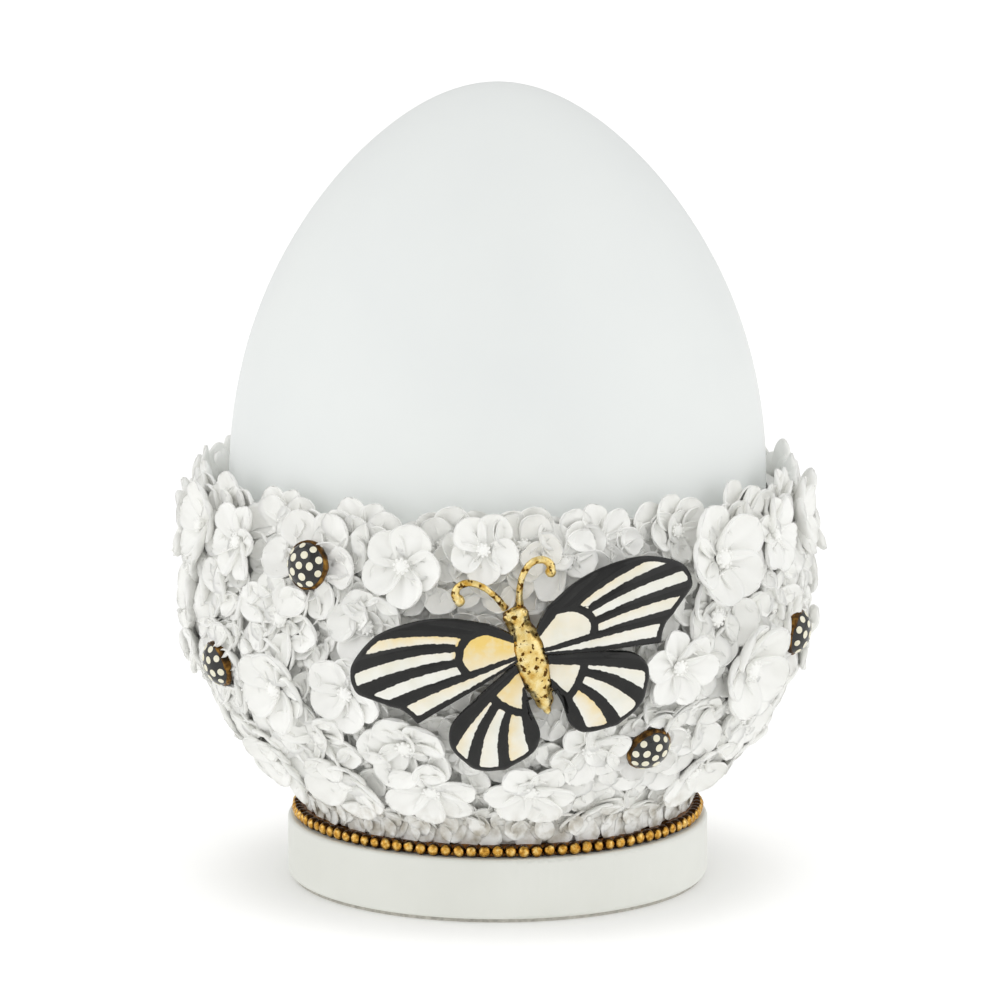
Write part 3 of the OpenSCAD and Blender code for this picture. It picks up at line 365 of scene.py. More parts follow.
def screw(head_r, head_h, shank_r, reach):
    """A screw with its head's underside at the origin and its shank down."""
    root = 0.4
    alone()
    bpy.ops.mesh.primitive_cylinder_add(vertices=32, radius=shank_r * mm,
        depth=(reach + root) * mm, location=(0, 0, (root - reach) / 2 * mm))
    shank = bpy.context.object
    head = turned("head", [(0, 0), (head_r, 0), (head_r, head_h * 0.35),
        (head_r * 0.93, head_h * 0.75), (head_r * 0.72, head_h * 0.97), (0, head_h)], 40)
    arms = []
    for turn in (0, math.pi / 2):
        alone()
        bpy.ops.mesh.primitive_cone_add(vertices=4, radius1=head_r * 0.3 * mm,
            radius2=head_r * 0.66 * mm, depth=head_h * mm, location=(0, 0, head_h * 0.75 * mm),
            rotation=(0, 0, math.pi / 4))
        arm = bpy.context.object
        bpy.ops.object.transform_apply(location=True, rotation=True, scale=True)
        arms.append(copied(arm, spun(turn) @ Matrix.Diagonal((1, 0.3, 1, 1))))
        bpy.data.objects.remove(arm)
    for arm in arms:
        applied(head, "BOOLEAN", object=arm, operation="DIFFERENCE")
        bpy.data.objects.remove(arm)
    return smooth(joined("screw", [head, shank]), 30)


def screws(name, body, model, places, turns):
    """Copies a screw to its places, each turned as it happened to be driven home."""
    parts = [copied(model, place @ spun(turn)) for place, turn in zip(places, turns)]
    bpy.data.objects.remove(model)
    finished(joined("fine_" + name, parts), body, zinc, [name])


def round_places(turns, radius, z, upside_down=False):
    """Places on a circle about the axis, in degrees and millimetres."""
    flip = spun(math.pi if upside_down else 0, "X")
    return [spun(math.radians(t)) @ moved(radius * mm, 0, z * mm) @ flip for t in turns]


driven = [0.3, 1.2, 0.7, 2.1]
screws("cover_screws", "base", screw(2.8, 0.9, 1.5, 7.4),
    round_places((20, 160, 200, 340), 48.8, 2.5, True), driven)
screws("door_screw", "door", screw(2.8, 0.9, 1.5, 7.4),
    [moved(0, 32.95 * mm, 2.5 * mm) @ spun(math.pi, "X")], [0.5])

# Trim band: the backing strip of a beaded trim, pressed brass washed with brown, bent
# round the bowl's foot and glued down. Its edges are a little uneven.
gilt = surface("brown-washed gilt strip", ["#5a3614", "#7a4c1c", "#a8742c"], 2.5, (0.38, 0.55),
    (0.5, 0.08), metallic=0.85)[0]
band = turned("fine_trim_band", [(54.3, 18.05), (56.7, 18.05), (57.25, 18.5), (57.3, 19.6),
    (57.2, 20.6), (56.6, 21.1), (54.3, 21.15), (54.3, 18.05)], 200)
uneven = bpy.data.textures.new("uneven", "CLOUDS")
uneven.noise_scale = 2.2 * mm
applied(band, "DISPLACE", texture=uneven, texture_coords="LOCAL", strength=0.35 * mm)
finished(smooth(band), "base", gilt, ["trim_band"])

# Trim beads: a hundred pressed beads in the strip, gilt worn bright on their fronts and
# brown in the recesses between them, each a little unlike the next.
bead_count, bead_ring, bead_level, bead_r = 100, 57.5, 19.85, 1.84

# The wear, between two distances from the axis in metres
brown_r, bright_r, ragged_by = 0.0589, 0.0594, 0.0012
bead_gold, tree, shader, place, tone = surface("worn gilt beads", ["#9c6a22", "#cf9c44",
    "#f0cf84"], 1.2, (0.16, 0.32), (0.35, 0.08), metallic=1.0)
flat = add(tree, "ShaderNodeVectorMath", [place, (1, 1, 0)], operation="MULTIPLY")
reach = add(tree, "ShaderNodeVectorMath", [flat], operation="LENGTH")
scuffs = add(tree, "ShaderNodeTexNoise", [place, 1 / (1.3 * mm), 3])
ragged = add(tree, "ShaderNodeMath", [scuffs, ragged_by], operation="MULTIPLY")
worn = add(tree, "ShaderNodeMath", [reach, ragged], operation="ADD")
fresh = add(tree, "ShaderNodeMapRange", [worn, brown_r, bright_r],
    interpolation_type="SMOOTHSTEP")
bead_tone = add(tree, "ShaderNodeMix", [fresh, linear("#3f250c"), tone], data_type="RGBA")
fill(tree, shader.inputs["Base Color"], bead_tone)
draw = random.Random(5)
alone()
bpy.ops.mesh.primitive_uv_sphere_add(segments=16, ring_count=10, radius=bead_r * mm)
bead = smooth(bpy.context.object, 80)
parts = []
for i in range(bead_count):
    size = [1 + draw.uniform(-0.05, 0.05) for _ in range(3)]
    parts.append(copied(bead, spun(2 * math.pi * i / bead_count)
        @ moved((bead_ring + draw.uniform(-0.12, 0.12)) * mm, draw.uniform(-0.08, 0.08) * mm,
            (bead_level + draw.uniform(-0.12, 0.12)) * mm)
        @ spun(draw.uniform(0, 3), "X") @ Matrix.Diagonal((*size, 1))))
bpy.data.objects.remove(bead)
finished(joined("fine_trim_beads", parts), "base", bead_gold, ["trim_beads"])

# Bowl: a flared belly of cast resin, open at the top and hollow at its foot, and painted
# white with the blossoms that cover its outside. The brush has left soft strokes, and
# towards the bottom, just above the trim, the paint is tinted a patchy brown-grey.
resin, tree, shader, place, tone = surface("brushed white paint on cast resin",
    ["#f7f7f3", "#fcfcf9"], 14, (0.42, 0.6), (0.9, 0.03))
stroke = add(tree, "ShaderNodeTexNoise", [place, 1 / (2.6 * mm), 2])
rough_paint = add(tree, "ShaderNodeBump", {"Height": stroke, "Strength": 1.0,
    "Distance": 0.12 * mm, "Normal": shader.inputs["Normal"].links[0].from_socket})
# Towards the bottom, above the trim, the paint turns a patchy brown-grey.
up = add(tree, "ShaderNodeSeparateXYZ", [place]).outputs["Z"]
low = add(tree, "ShaderNodeMapRange", [up, 0.0215, 0.036, 1, 0], interpolation_type="SMOOTHSTEP")
patch_noise = add(tree, "ShaderNodeTexNoise", [place, 1 / (4 * mm), 5])
patch_mask = add(tree, "ShaderNodeMapRange", [patch_noise, 0.42, 0.68, 0, 0.8])
low_tint = add(tree, "ShaderNodeMath", [low, patch_mask], operation="MULTIPLY")
bottom_tinted = add(tree, "ShaderNodeMix", [low_tint, tone, linear("#9c8f72")], data_type="RGBA")
fill(tree, shader.inputs["Base Color"], bottom_tinted)
fill(tree, shader.inputs["Normal"], rough_paint)
refined("flower_bowl", "base", resin)

# Blossoms: cast resin flowers of five or six scooped petals, each thick at its rim and
# ribbed, round a button of stamens. They are cast with the bowl and painted with it.

# The bowl's outside, on which they sit, is one ellipse below its widest place, the belly,
# and a taller one above it. Its sizes are those of the solids.
plinth_top = 18 * mm
bowl_r_max = 82.5 * mm
bowl_h = 95 * mm
belly_h = 68 * mm
bowl_drop = 72 * mm
bowl_arch = 130 * mm
foot_r = 54 * mm


def belly_share(h):
    """How far a height lies from the belly, as a share of the ellipse on that side."""
    return (belly_h - h) / bowl_drop if h < belly_h else (h - belly_h) / bowl_arch


def bowl_r(h):
    """The bowl's radius at a height over the plinth."""
    return max(foot_r, bowl_r_max * math.sqrt(max(0, 1 - belly_share(h) ** 2)))


def bowl_tilt(h):
    """How far the bowl's surface faces up, or down if negative, at a height."""
    way = 1 / bowl_drop if h < belly_h else -1 / bowl_arch
    curve = max(0.05, math.sqrt(max(0, 1 - belly_share(h) ** 2)))
    return -math.atan(way * bowl_r_max * belly_share(h) / curve)


def on_bowl(side, h, lean=0.0):
    """The place on the bowl at a direction in degrees and a height, +Z outwards."""
    return (spun(math.radians(side)) @ moved(0, -bowl_r(h), plinth_top + h)
        @ spun(math.pi / 2 - bowl_tilt(h) - math.radians(lean), "X"))


def sample(table, t):
    """A table of evenly spaced values, read between its entries at t from 0 to 1."""
    x = max(0, min(1, t)) * (len(table) - 1)
    i = min(int(x), len(table) - 2)
    return table[i] + (table[i + 1] - table[i]) * (x - i)


def petal(name, widths, rises, length, width, thick, scoop, rib, sides=20, rings=12):
    """One petal from a ball: flattened to a plate with thick round rims, dished and ribbed
    on its upper side, scooped, and frilled at its tip. Both tables run from root to tip as
    shares of the width and the length. Scoop, rib and dish are shares of the thickness."""
    waves = 8.6
    dish = 0.78
    frill = 0.035
    alone()
    bpy.ops.mesh.primitive_uv_sphere_add(segments=sides, ring_count=rings, radius=0.5,
        rotation=(math.pi / 2, 0, 0))
    leaf = bpy.context.object
    leaf.name = name
    bpy.ops.object.transform_apply(location=False, rotation=True, scale=False)
    for v in leaf.data.vertices:
        t = math.acos(max(-1, min(1, -2 * v.co.y))) / math.pi
        ring = max(1e-6, math.hypot(v.co.x, v.co.z))
        across, up = v.co.x / ring, v.co.z / ring
        full = math.sin(math.pi * t)
        plate = 0.5 * math.sqrt(full) * math.copysign(abs(up) ** 0.6, up)
        if up > 0:
            ridge = rib * math.cos(waves * across) * (1 - across * across)
            plate += full * (ridge - dish * (1 - abs(across) ** 3))
        plate += scoop * full * across * across
        reach = 1 + frill * math.cos(waves * across) * t * t
        v.co = (
            0.5 * width * full * sample(widths, t) * math.copysign(abs(across) ** 0.75, across),
            (1 - math.cos(math.pi * t)) / 2 * length * reach,
            plate * thick + sample(rises, t) * length,
        )
    return leaf


def button(radius, beads, bead_r, height, sides=12):
    """The stamens: a low dome with a ring of small beads round it."""
    alone()
    bpy.ops.mesh.primitive_uv_sphere_add(segments=sides, ring_count=sides * 2 // 3,
        radius=radius, location=(0, 0, height), scale=(1, 1, 0.75))
    parts = [bpy.context.object]
    for i in range(beads):
        turn = 2 * math.pi * i / beads
        bpy.ops.mesh.primitive_ico_sphere_add(subdivisions=1, radius=bead_r, location=(
            radius * math.cos(turn), radius * math.sin(turn), height + radius * 0.3))
        parts.append(bpy.context.object)
    return joined("button", parts)


def blossom(name, leaf, count, root, tilt, roll, heart, draw):
    """Petals set round a heart, each tilted up, rolled over the next and a little unlike
    the others."""
    parts = []
    for i in range(count):
        size = 1 + draw.uniform(-0.07, 0.07)
        turn = 2 * math.pi * i / count + draw.uniform(-0.07, 0.07)
        parts.append(copied(leaf, spun(turn) @ moved(0, root, 0)
            @ spun(math.radians(tilt + draw.uniform(-5, 5)), "X")
            @ spun(math.radians(roll + draw.uniform(-4, 4)), "Y")
            @ Matrix.Diagonal((size, size, 1, 1))))
    if heart:
        parts.append(copied(heart, Matrix.Identity(4)))
    made = joined(name, parts)
    only(made)
    bpy.ops.object.shade_smooth()
    return made


# Petal outlines: widths, then rises, from root to tip
wide_widths = [1.3, 1.2, 0.95, 0.84, 0.86, 0.93, 1.0, 1.06, 1.1, 1.12, 1.12, 1.12, 1.12]
wide_rises = [0, -0.01, -0.02, -0.02, -0.01, 0.01, 0.03, 0.05, 0.075, 0.1, 0.12, 0.135, 0.14]
long_widths = [1.3, 1.15, 0.9, 0.76, 0.76, 0.82, 0.9, 1.0, 1.06, 1.1, 1.14, 1.16, 1.16]
long_rises = [0, 0.02, 0.04, 0.06, 0.075, 0.085, 0.09, 0.09, 0.085, 0.075, 0.06, 0.045, 0.035]
wide_petal = petal("wide_petal", wide_widths, wide_rises, 11.7 * mm, 11.6 * mm, 2.9 * mm,
    0.5, 0.18)
long_petal = petal("long_petal", long_widths, long_rises, 12.0 * mm, 10.0 * mm, 2.9 * mm,
    0.45, 0.19)
bed_petal = petal("bed_petal", wide_widths, wide_rises, 9.8 * mm, 10.0 * mm, 2.6 * mm,
    0.45, 0.1, 10, 7)
big_button = button(2.0 * mm, 9, 0.62 * mm, 1.9 * mm)
bed_button = button(1.2 * mm, 0, 0, 0.7 * mm, 8)

# A few models of each kind: a host leaves its heart open for a stud
draw = random.Random(11)
kinds = {
    "wide": [blossom("wide", wide_petal, 5, 0.9 * mm, 13, 8, big_button, draw) for _ in range(3)],
    "long": [blossom("long", long_petal, 6, 0.9 * mm, 13, 8, big_button, draw) for _ in range(3)],
    "host": [blossom("host", wide_petal, 6, 4.4 * mm, 9, 8, None, draw) for _ in range(2)],
    "bed": [blossom("bed", bed_petal, 5, 0.5 * mm, 12, 8, bed_button, draw) for _ in range(4)],
}
models = [wide_petal, long_petal, bed_petal, big_button, bed_button]
models += [m for group in kinds.values() for m in group]

# Places in half a turn, repeated on the far side: direction in degrees, height share of
# the bowl, width share, and 1 where a stud sits on the heart
rim_places = [
    (-35.5, 0.885, 1.2, 1), (-16.9, 0.905, 0.88, 0), (-2.5, 0.955, 0.74, 0), (12, 0.915, 0.9, 0),
    (27, 0.93, 0.74, 0), (43.5, 0.89, 1.09, 0), (61, 0.92, 0.84, 0), (77, 0.925, 0.9, 0),
    (93.5, 0.9, 0.92, 0), (110, 0.925, 0.9, 0), (125.8, 0.915, 0.82, 0),
]
middle_places = [
    (-63.3, 0.555, 1.05, 1), (-45, 0.53, 0.92, 0), (-29, 0.54, 0.84, 0), (34, 0.61, 0.84, 0),
    (52.5, 0.57, 1.05, 0), (71.5, 0.62, 1, 1), (87.5, 0.56, 0.72, 0), (100.5, 0.57, 0.7, 0),
]
lower_places = [
    (7.3, 0.26, 0.92, 0), (31, 0.385, 0.94, 1), (52.3, 0.25, 0.96, 0), (74.8, 0.255, 0.96, 0),
    (97.3, 0.25, 0.96, 0), (119.8, 0.26, 0.94, 0), (142.3, 0.25, 0.96, 0), (164.8, 0.255, 0.94, 0),
]
shoulder_places = [
    (-5.2, 0.72, 0.94, 0), (19.2, 0.725, 1.04, 0), (43.4, 0.725, 0.94, 0), (62.1, 0.72, 0.92, 0),
    (80.9, 0.73, 0.94, 0), (99.7, 0.73, 0.94, 0), (118.5, 0.73, 0.94, 0), (137.2, 0.725, 0.96, 0),
    (156, 0.73, 0.94, 0),
]
waist_places = [
    (-0.2, 0.385, 0.9, 0), (18.6, 0.385, 0.9, 0), (41, 0.385, 0.92, 0), (61, 0.39, 0.95, 0),
    (81, 0.39, 0.95, 0), (101, 0.39, 0.95, 0), (121, 0.39, 0.95, 0), (141, 0.385, 0.95, 0),
    (161, 0.385, 0.92, 0),
]
foot_places = [(6 + 20 * i, 0.16, 0.7, 0) for i in range(9)]
# The crown's blossoms stand between two of the rim's, a little uneven in height
crown_places = [
    ((a[0] + b[0]) / 2, 0.965 + 0.03 * abs(math.sin(math.radians(a[0] + b[0]) / 2)), 0.85, 0)
    for a, b in zip(rim_places, rim_places[1:] + [(rim_places[0][0] + 180, 0, 0, 0)])
]
# The middle row's places behind, where there is no butterfly to leave room for
back_places = [(166.5, 0.55, 0.84, 0), (182, 0.56, 0.84, 0), (197.5, 0.55, 0.84, 0)]


def both_halves(places):
    """Places in half a turn, and the same ones on the far side."""
    return [(s + t, h, w, k) for t in (0, 180) for s, h, w, k in places]


def apart(side, share, other):
    """The distance over the bowl between two places."""
    turn = (side - other[0] + 180) % 360 - 180
    return math.hypot(math.radians(turn) * bowl_r_max, (share - other[1]) * bowl_h)


# The butterfly's outline, which the blossoms under it keep clear of: shares of its reach
# in its own leaning frame, for the right side. The left wings droop, by so many degrees.
forewing = [(0.163, 0.306), (0.333, 0.392), (0.522, 0.43), (0.743, 0.416), (0.92, 0.33),
    (1, 0.235), (0.992, 0.139), (0.888, 0.061), (0.776, -0.01), (0.714, -0.102)]
hindwing = [(0.38, -0.03), (0.561, -0.1), (0.629, -0.21), (0.608, -0.315), (0.541, -0.415),
    (0.435, -0.465), (0.327, -0.475), (0.204, -0.455), (0.122, -0.37), (0.12, -0.22)]
wing_reach = 44 * mm
insect_side = 6
insect_h = 62 * mm
insect_lean = math.radians(14.8)
forewing_droop = 4.5
hindwing_droop = 11


def drooped(point, degrees):
    """A point of a wing's outline, turned down round the middle of the body."""
    a = math.radians(-degrees)
    return Vector((point[0] * math.cos(a) - point[1] * math.sin(a),
        point[0] * math.sin(a) + point[1] * math.cos(a)))


def to_line(p, line):
    """The distance from a point to a line of points."""
    best = 1.0
    for a, b in zip(line, line[1:]):
        t = max(0, min(1, (p - a).dot(b - a) / max(1e-12, (b - a).length_squared)))
        best = min(best, (a + (b - a) * t - p).length)
    return best


def inside(p, line):
    """Whether a point lies inside a closed line of points."""
    found = False
    for a, b in zip(line, line[1:] + line[:1]):
        if (a.y > p.y) != (b.y > p.y) and p.x < a.x + (b.x - a.x) * (p.y - a.y) / (b.y - a.y):
            found = not found
    return found


cover = []
for side, droops in ((1, (0, 0)), (-1, (forewing_droop, hindwing_droop))):
    for shares, droop in zip((forewing, hindwing), droops):
        outline = [(0, 0.2)] + shares + [(0, -0.15)]
        cover.append([Vector((side * q.x, q.y)) * wing_reach
            for q in (drooped(point, droop) for point in outline)])


def clear_of_wings(side, share):
    """The distance from a place on the bowl to the butterfly's outline, 0 under it."""
    x = math.radians((side - insect_side + 180) % 360 - 180) * bowl_r_max
    y = share * bowl_h - insect_h
    a = -insect_lean
    p = Vector((x * math.cos(a) - y * math.sin(a), x * math.sin(a) + y * math.cos(a)))
    return 0 if any(inside(p, line) for line in cover) else min(to_line(p, line) for line in cover)


# Each row: its places, its height over the bowl in millimetres, its lean back in degrees
# and the growth of its blossoms, which each have their own turn from the one before
rows = {
    "crown_blossoms": (both_halves(crown_places), 2.0, 2, 1.0),
    "rim_blossoms": (both_halves(rim_places), 4.9, 3, 1.08),
    "shoulder_blossoms": (both_halves(shoulder_places), 2.9, 0, 1.2),
    "middle_blossoms": (both_halves(middle_places) + back_places, 5.3, 0, 1.14),
    "waist_blossoms": (both_halves(waist_places), 2.7, 0, 1.2),
    "lower_blossoms": (both_halves(lower_places), 4.0, 0, 1.14),
    "foot_blossoms": (both_halves(foot_places), 2.4, 10, 1.15),
}
studded = [p for p in both_halves(rim_places + middle_places + lower_places) if p[3]]
own_turn = 137.5
least_depth, low_row, low_row_depth = 0.45, 3, 0.85

# Blossoms near the wings are smaller and lie lower, the more so the nearer they are, one
# that holds a stud is small and lies low under it, and those beside a stud make room
host_size, host_depth, host_rise = 0.82, 0.8, 3.5
near_wing, wing_size = 13 * mm, 0.95
wing_rise, wing_rise_more = 1.2, 0.35
wing_depth, wing_depth_more = 0.6, 0.025
near_stud, stud_room = 18 * mm, 1.0
for row, (places, rise, lean, grow) in rows.items():
    parts = []
    for i, (side, share, width, stud) in enumerate(places):
        kind = "host" if stud else ("wide", "long", "wide")[(i * 7 + len(places)) % 3]
        model = kinds[kind][i % len(kinds[kind])]
        size = width * grow
        height = rise + draw.uniform(-0.3, 0.3)
        depth = size * min(1, least_depth + share) * (1 if rise > low_row else low_row_depth)
        clear = clear_of_wings(side, share)
        if stud:
            size, height, depth = host_size * width, host_rise, host_depth * width
        elif clear < near_wing:
            size = min(size, wing_size)
            height = min(height, wing_rise + wing_rise_more * clear / mm)
            depth = size * (wing_depth + wing_depth_more * clear / mm)
        elif min(apart(side, share, s) for s in studded) < near_stud:
            height -= stud_room
        parts.append(copied(model, on_bowl(side, share * bowl_h, lean)
            @ moved(0, 0, height * mm) @ spun(math.radians(own_turn * i - 90))
            @ Matrix.Diagonal((size, size, depth, 1))))
    finished(joined("fine_" + row, parts), "base", resin, [row])

# Bed of small blossoms: the lowest layer of the cast crust, pressed close together in the
# gaps between the larger blossoms. It lies flatter under the wings, and a skirt of still
# smaller blossoms closes it just above the trim.
bed_start, bed_step, bed_spacing = 0.13, 0.0925, 12.2 * mm
under_wing = 8 * mm
skirt_count, skirt_r, skirt_level, skirt_lean = 40, 56.2 * mm, 27.2, 0.3
whole_turn = 6.28
for name, levels in (("low_bed", range(6)), ("high_bed", range(6, 10))):
    parts = []
    for k in levels:
        share = bed_start + bed_step * k
        count = round(2 * math.pi * bowl_r(share * bowl_h) / bed_spacing)
        for i in range(count):
            side = 360 * (i + 0.5 * (k % 2) + draw.uniform(-0.16, 0.16)) / count
            size = draw.uniform(0.92, 1.08)
            level = share + draw.uniform(-0.014, 0.014)
            hidden = clear_of_wings(side, level) < under_wing
            height = draw.uniform(0.8, 1.4) if hidden else draw.uniform(1.4, 2.8)
            depth = size * min(0.75 if hidden else 1, least_depth + share)
            parts.append(copied(kinds["bed"][draw.randrange(4)],
                on_bowl(side, level * bowl_h, 2) @ moved(0, 0, height * mm)
                @ spun(draw.uniform(0, whole_turn)) @ spun(draw.uniform(-0.12, 0.12), "X")
                @ Matrix.Diagonal((size, size, depth, 1))))
    if name == "low_bed":
        for i in range(skirt_count):
            size = draw.uniform(0.72, 0.8)
            parts.append(copied(kinds["bed"][draw.randrange(4)],
                spun(2 * math.pi * (i + draw.uniform(-0.15, 0.15)) / skirt_count)
                @ moved(0, -skirt_r, (skirt_level + draw.uniform(-0.2, 0.5)) * mm)
                @ spun(math.pi / 2 + skirt_lean, "X") @ spun(draw.uniform(0, whole_turn))
                @ Matrix.Diagonal((size, size, 0.45 * size, 1))))
    finished(joined(name, parts), "base", resin)
for model in models:
    bpy.data.objects.remove(model)

# Domed studs: glossy cabochons enamelled black and dotted in ivory by hand, each glued on
# the heart of a large blossom in a bronze rim that is wider on one side, and bright only
# where it has been rubbed.
stud_black = surface("black gloss enamel", ["#161614", "#22221f"], 5, (0.08, 0.2), (1.6, 0.02),
    ior=1.55)[0]
stud_ivory = surface("ivory enamel dots", ["#e6e0c4", "#f2eeda"], 1.5, (0.15, 0.3), (0.5, 0.03),
    ior=1.55)[0]
bronze = surface("rubbed bronze rim", ["#1f1a12", "#5b3f1c", "#a57a37"], 2.2, (0.3, 0.5),
    (0.6, 0.12), metallic=0.9)[0]


def stretch(factors, about=(0, 0, 0)):
    """Scales what is selected about a point."""
    bpy.ops.transform.resize(value=factors, center_override=about)


def choose(test):
    """In edit mode, selects the vertices whose place passes the test."""
    mesh = bmesh.from_edit_mesh(bpy.context.object.data)
    for v in mesh.verts:
        v.select = bool(test(v.co))
    mesh.select_flush_mode()
    bmesh.update_edit_mesh(bpy.context.object.data)


stud_r = 6.65
dome_r = stud_r - 0.35
dome_h = 4.1
stud_seat = 6.5
alone()
bpy.ops.mesh.primitive_uv_sphere_add(segments=40, ring_count=24, radius=1)
dome = bpy.context.object
bpy.ops.object.mode_set(mode="EDIT")
bpy.ops.mesh.select_all(action="SELECT")
bpy.ops.mesh.bisect(plane_co=(0, 0, 0.0), plane_no=(0, 0, 1), clear_inner=True, use_fill=True)
bpy.ops.mesh.select_all(action="SELECT")
stretch((dome_r * mm, dome_r * mm, dome_h * mm))
bpy.ops.object.mode_set(mode="OBJECT")
smooth(dome, 50)
dome.data.materials.append(stud_black)
alone()
bpy.ops.mesh.primitive_torus_add(major_segments=56, minor_segments=10,
    major_radius=(stud_r - 0.5) * mm, minor_radius=0.65 * mm)
rim = bpy.context.object
bpy.ops.object.mode_set(mode="EDIT")
bpy.ops.mesh.select_all(action="SELECT")
stretch((1, 1, 1.25))
choose(lambda co: co.x > 3.5 * mm)
stretch((0.95, 1, 1.5))
bpy.ops.object.mode_set(mode="OBJECT")
applied(rim, "DISPLACE", texture=uneven, texture_coords="LOCAL", strength=0.7 * mm)
smooth(rim, 60)
rim.data.materials.append(bronze)

# Dots in rings round the middle one: each ring's share of the dome's radius, and its count
draw = random.Random(3)
dots = []
for ring, count in ((0, 1), (0.5, 5), (0.86, 9)):
    for i in range(count):
        turn = 2 * math.pi * (i + 0.5 * (ring > 0.5)) / count + draw.uniform(-0.06, 0.06)
        spot = Vector((dome_r * ring * math.cos(turn), dome_r * ring * math.sin(turn),
            dome_h * math.cos(math.asin(ring))))
        out = Vector((spot.x / stud_r ** 2, spot.y / stud_r ** 2, spot.z / dome_h ** 2))
        size = draw.uniform(1.05, 1.2) * (0.9 if ring > 0.5 else 1)
        alone()
        bpy.ops.mesh.primitive_uv_sphere_add(segments=14, ring_count=8, radius=size * mm,
            location=spot * mm, rotation=out.to_track_quat("Z", "Y").to_euler(),
            scale=(1, draw.uniform(0.88, 1.0), 0.13))
        dot = bpy.context.object
        dot.data.materials.append(stud_ivory)
        dots.append(smooth(dot, 80))
stud = joined("stud", [dome, rim] + dots)
parts = []
for i, (side, share, _, _) in enumerate(studded):
    lean = 3 if share > 0.8 else 0
    parts.append(copied(stud, on_bowl(side, share * bowl_h, lean)
        @ moved(0, 0, stud_seat * mm) @ spun(0.9 * i)))
bpy.data.objects.remove(stud)
finished(joined("fine_dome_studs", parts), "base", None, ["dome_studs"])

# Butterfly body: cast metal with a small head, a full chest and a tapering, ringed tail,
# bent to the bowl and pinned through the blossoms. Its gold leaf is bright, dark in its
# pits, and worn to the brown ground along the sides.
leaf, tree, shader, place, tone = surface("pitted gold leaf", ["#c79a3f", "#ecd28a", "#f7e7b4"],
    2.4, (0.22, 0.42), (0.55, 0.09), metallic=1.0)
crumbs = add(tree, "ShaderNodeTexNoise", [place, 1 / (1.5 * mm), 6])
pits = add(tree, "ShaderNodeMapRange", [crumbs, 0.395, 0.43, 1, 0])
side = add(tree, "ShaderNodeAttribute", attribute_name="side").outputs["Fac"]
scuffs = add(tree, "ShaderNodeTexNoise", [place, 1 / (2.2 * mm), 3])
ragged = add(tree, "ShaderNodeMath", [scuffs, 0.5], operation="MULTIPLY")
edge = add(tree, "ShaderNodeMath", [side, ragged], operation="ADD")
worn = add(tree, "ShaderNodeMapRange", [edge, 1.0, 1.3, 0, 0.85],
    interpolation_type="SMOOTHSTEP")
pitted = add(tree, "ShaderNodeMix", [pits, tone, linear("#5c3d12")], data_type="RGBA")
aged = add(tree, "ShaderNodeMix", [worn, pitted, linear("#8a5a1e")], data_type="RGBA")
fill(tree, shader.inputs["Base Color"], aged)

# The body's length, half width and depth, and the wings' heights over the bowl. Its
# stations are shares of the length, from the tail to the head, and of the half width.
insect_l = 30 * mm
insect_half = 4.5 * mm
insect_depth = 4.2 * mm
insect_turn = math.radians(4)
wing_root = 5.6 * mm
wing_tip = 9 * mm
wing_thick = 1.1 * mm
back_lift = wing_root - wing_thick / 2
stations = [(-0.5, 0.02), (-0.46, 0.22), (-0.36, 0.56), (-0.18, 0.84), (0, 0.97), (0.14, 1),
    (0.25, 0.88), (0.32, 0.66), (0.4, 0.72), (0.46, 0.7), (0.5, 0.3)]


def station(share):
    """The body's half width at a share of its length, read between its stations."""
    for (a, p), (b, q) in zip(stations, stations[1:]):
        if share <= b:
            t = max(0, min(1, (share - a) / (b - a)))
            return p + (q - p) * (t * t * (3 - 2 * t) if p != q else t)
    return stations[-1][1]


def wrapped(x, y, height):
    """A point of the butterfly's flat frame at a height over the bowl, set on the bowl."""
    qx = x * math.cos(insect_lean) - y * math.sin(insect_lean)
    qy = x * math.sin(insect_lean) + y * math.cos(insect_lean)
    h = insect_h + qy
    slope = bowl_tilt(h)
    r = bowl_r(h) + height * math.cos(slope)
    a = math.radians(insect_side) + qx / bowl_r_max
    return Vector((r * math.sin(a), -r * math.cos(a), plinth_top + h + height * math.sin(slope)))


def leaning(x, y, height):
    """A point of the body's own frame, which leans a little more than the wings."""
    return wrapped(x * math.cos(insect_turn) - y * math.sin(insect_turn),
        x * math.sin(insect_turn) + y * math.cos(insect_turn), height)


def wrap(piece):
    """Bends a piece from the body's flat frame onto the bowl, and marks how far each
    point lies from the middle line, for the wear of the leaf."""
    side = piece.data.attributes.new("side", "FLOAT", "POINT")
    for v in piece.data.vertices:
        side.data[v.index].value = abs(v.co.x) / (insect_half * station(v.co.y / insect_l))
        v.co = leaning(*v.co)
    return piece


body_rings = 48
tail_ring_depth, tail_ring_pitch = 0.07, 75
alone()
bpy.ops.mesh.primitive_uv_sphere_add(segments=28, ring_count=body_rings, radius=0.5,
    rotation=(math.pi / 2, 0, 0))
body = bpy.context.object
body.name = "body"
bpy.ops.object.transform_apply(location=False, rotation=True, scale=False)
bpy.ops.object.mode_set(mode="EDIT")
for k in range(1, body_rings):
    y = -math.cos(math.pi * k / body_rings) / 2
    ball_r = math.sqrt(max(1e-6, 0.25 - y * y))
    width = station(y * 0.99) * insect_half
    ringed = 1 - tail_ring_depth * max(0, math.cos(y * tail_ring_pitch)) * (1 if y < -0.02 else 0)
    choose(lambda co, y=y: abs(co.y - y) < 0.0004 * (1 + ball_r))
    stretch((width * ringed / ball_r, 1, width * ringed / ball_r), (0, y, 0))
bpy.ops.mesh.select_all(action="SELECT")
stretch((1, insect_l, 1))
stretch((1, 1, insect_depth / insect_half))
choose(lambda co: co.z < 0)
stretch((1, 1, 0.25))
bpy.ops.mesh.select_all(action="SELECT")
shift((0, 0, back_lift + 0.2 * mm))
bpy.ops.object.mode_set(mode="OBJECT")
eyes = []
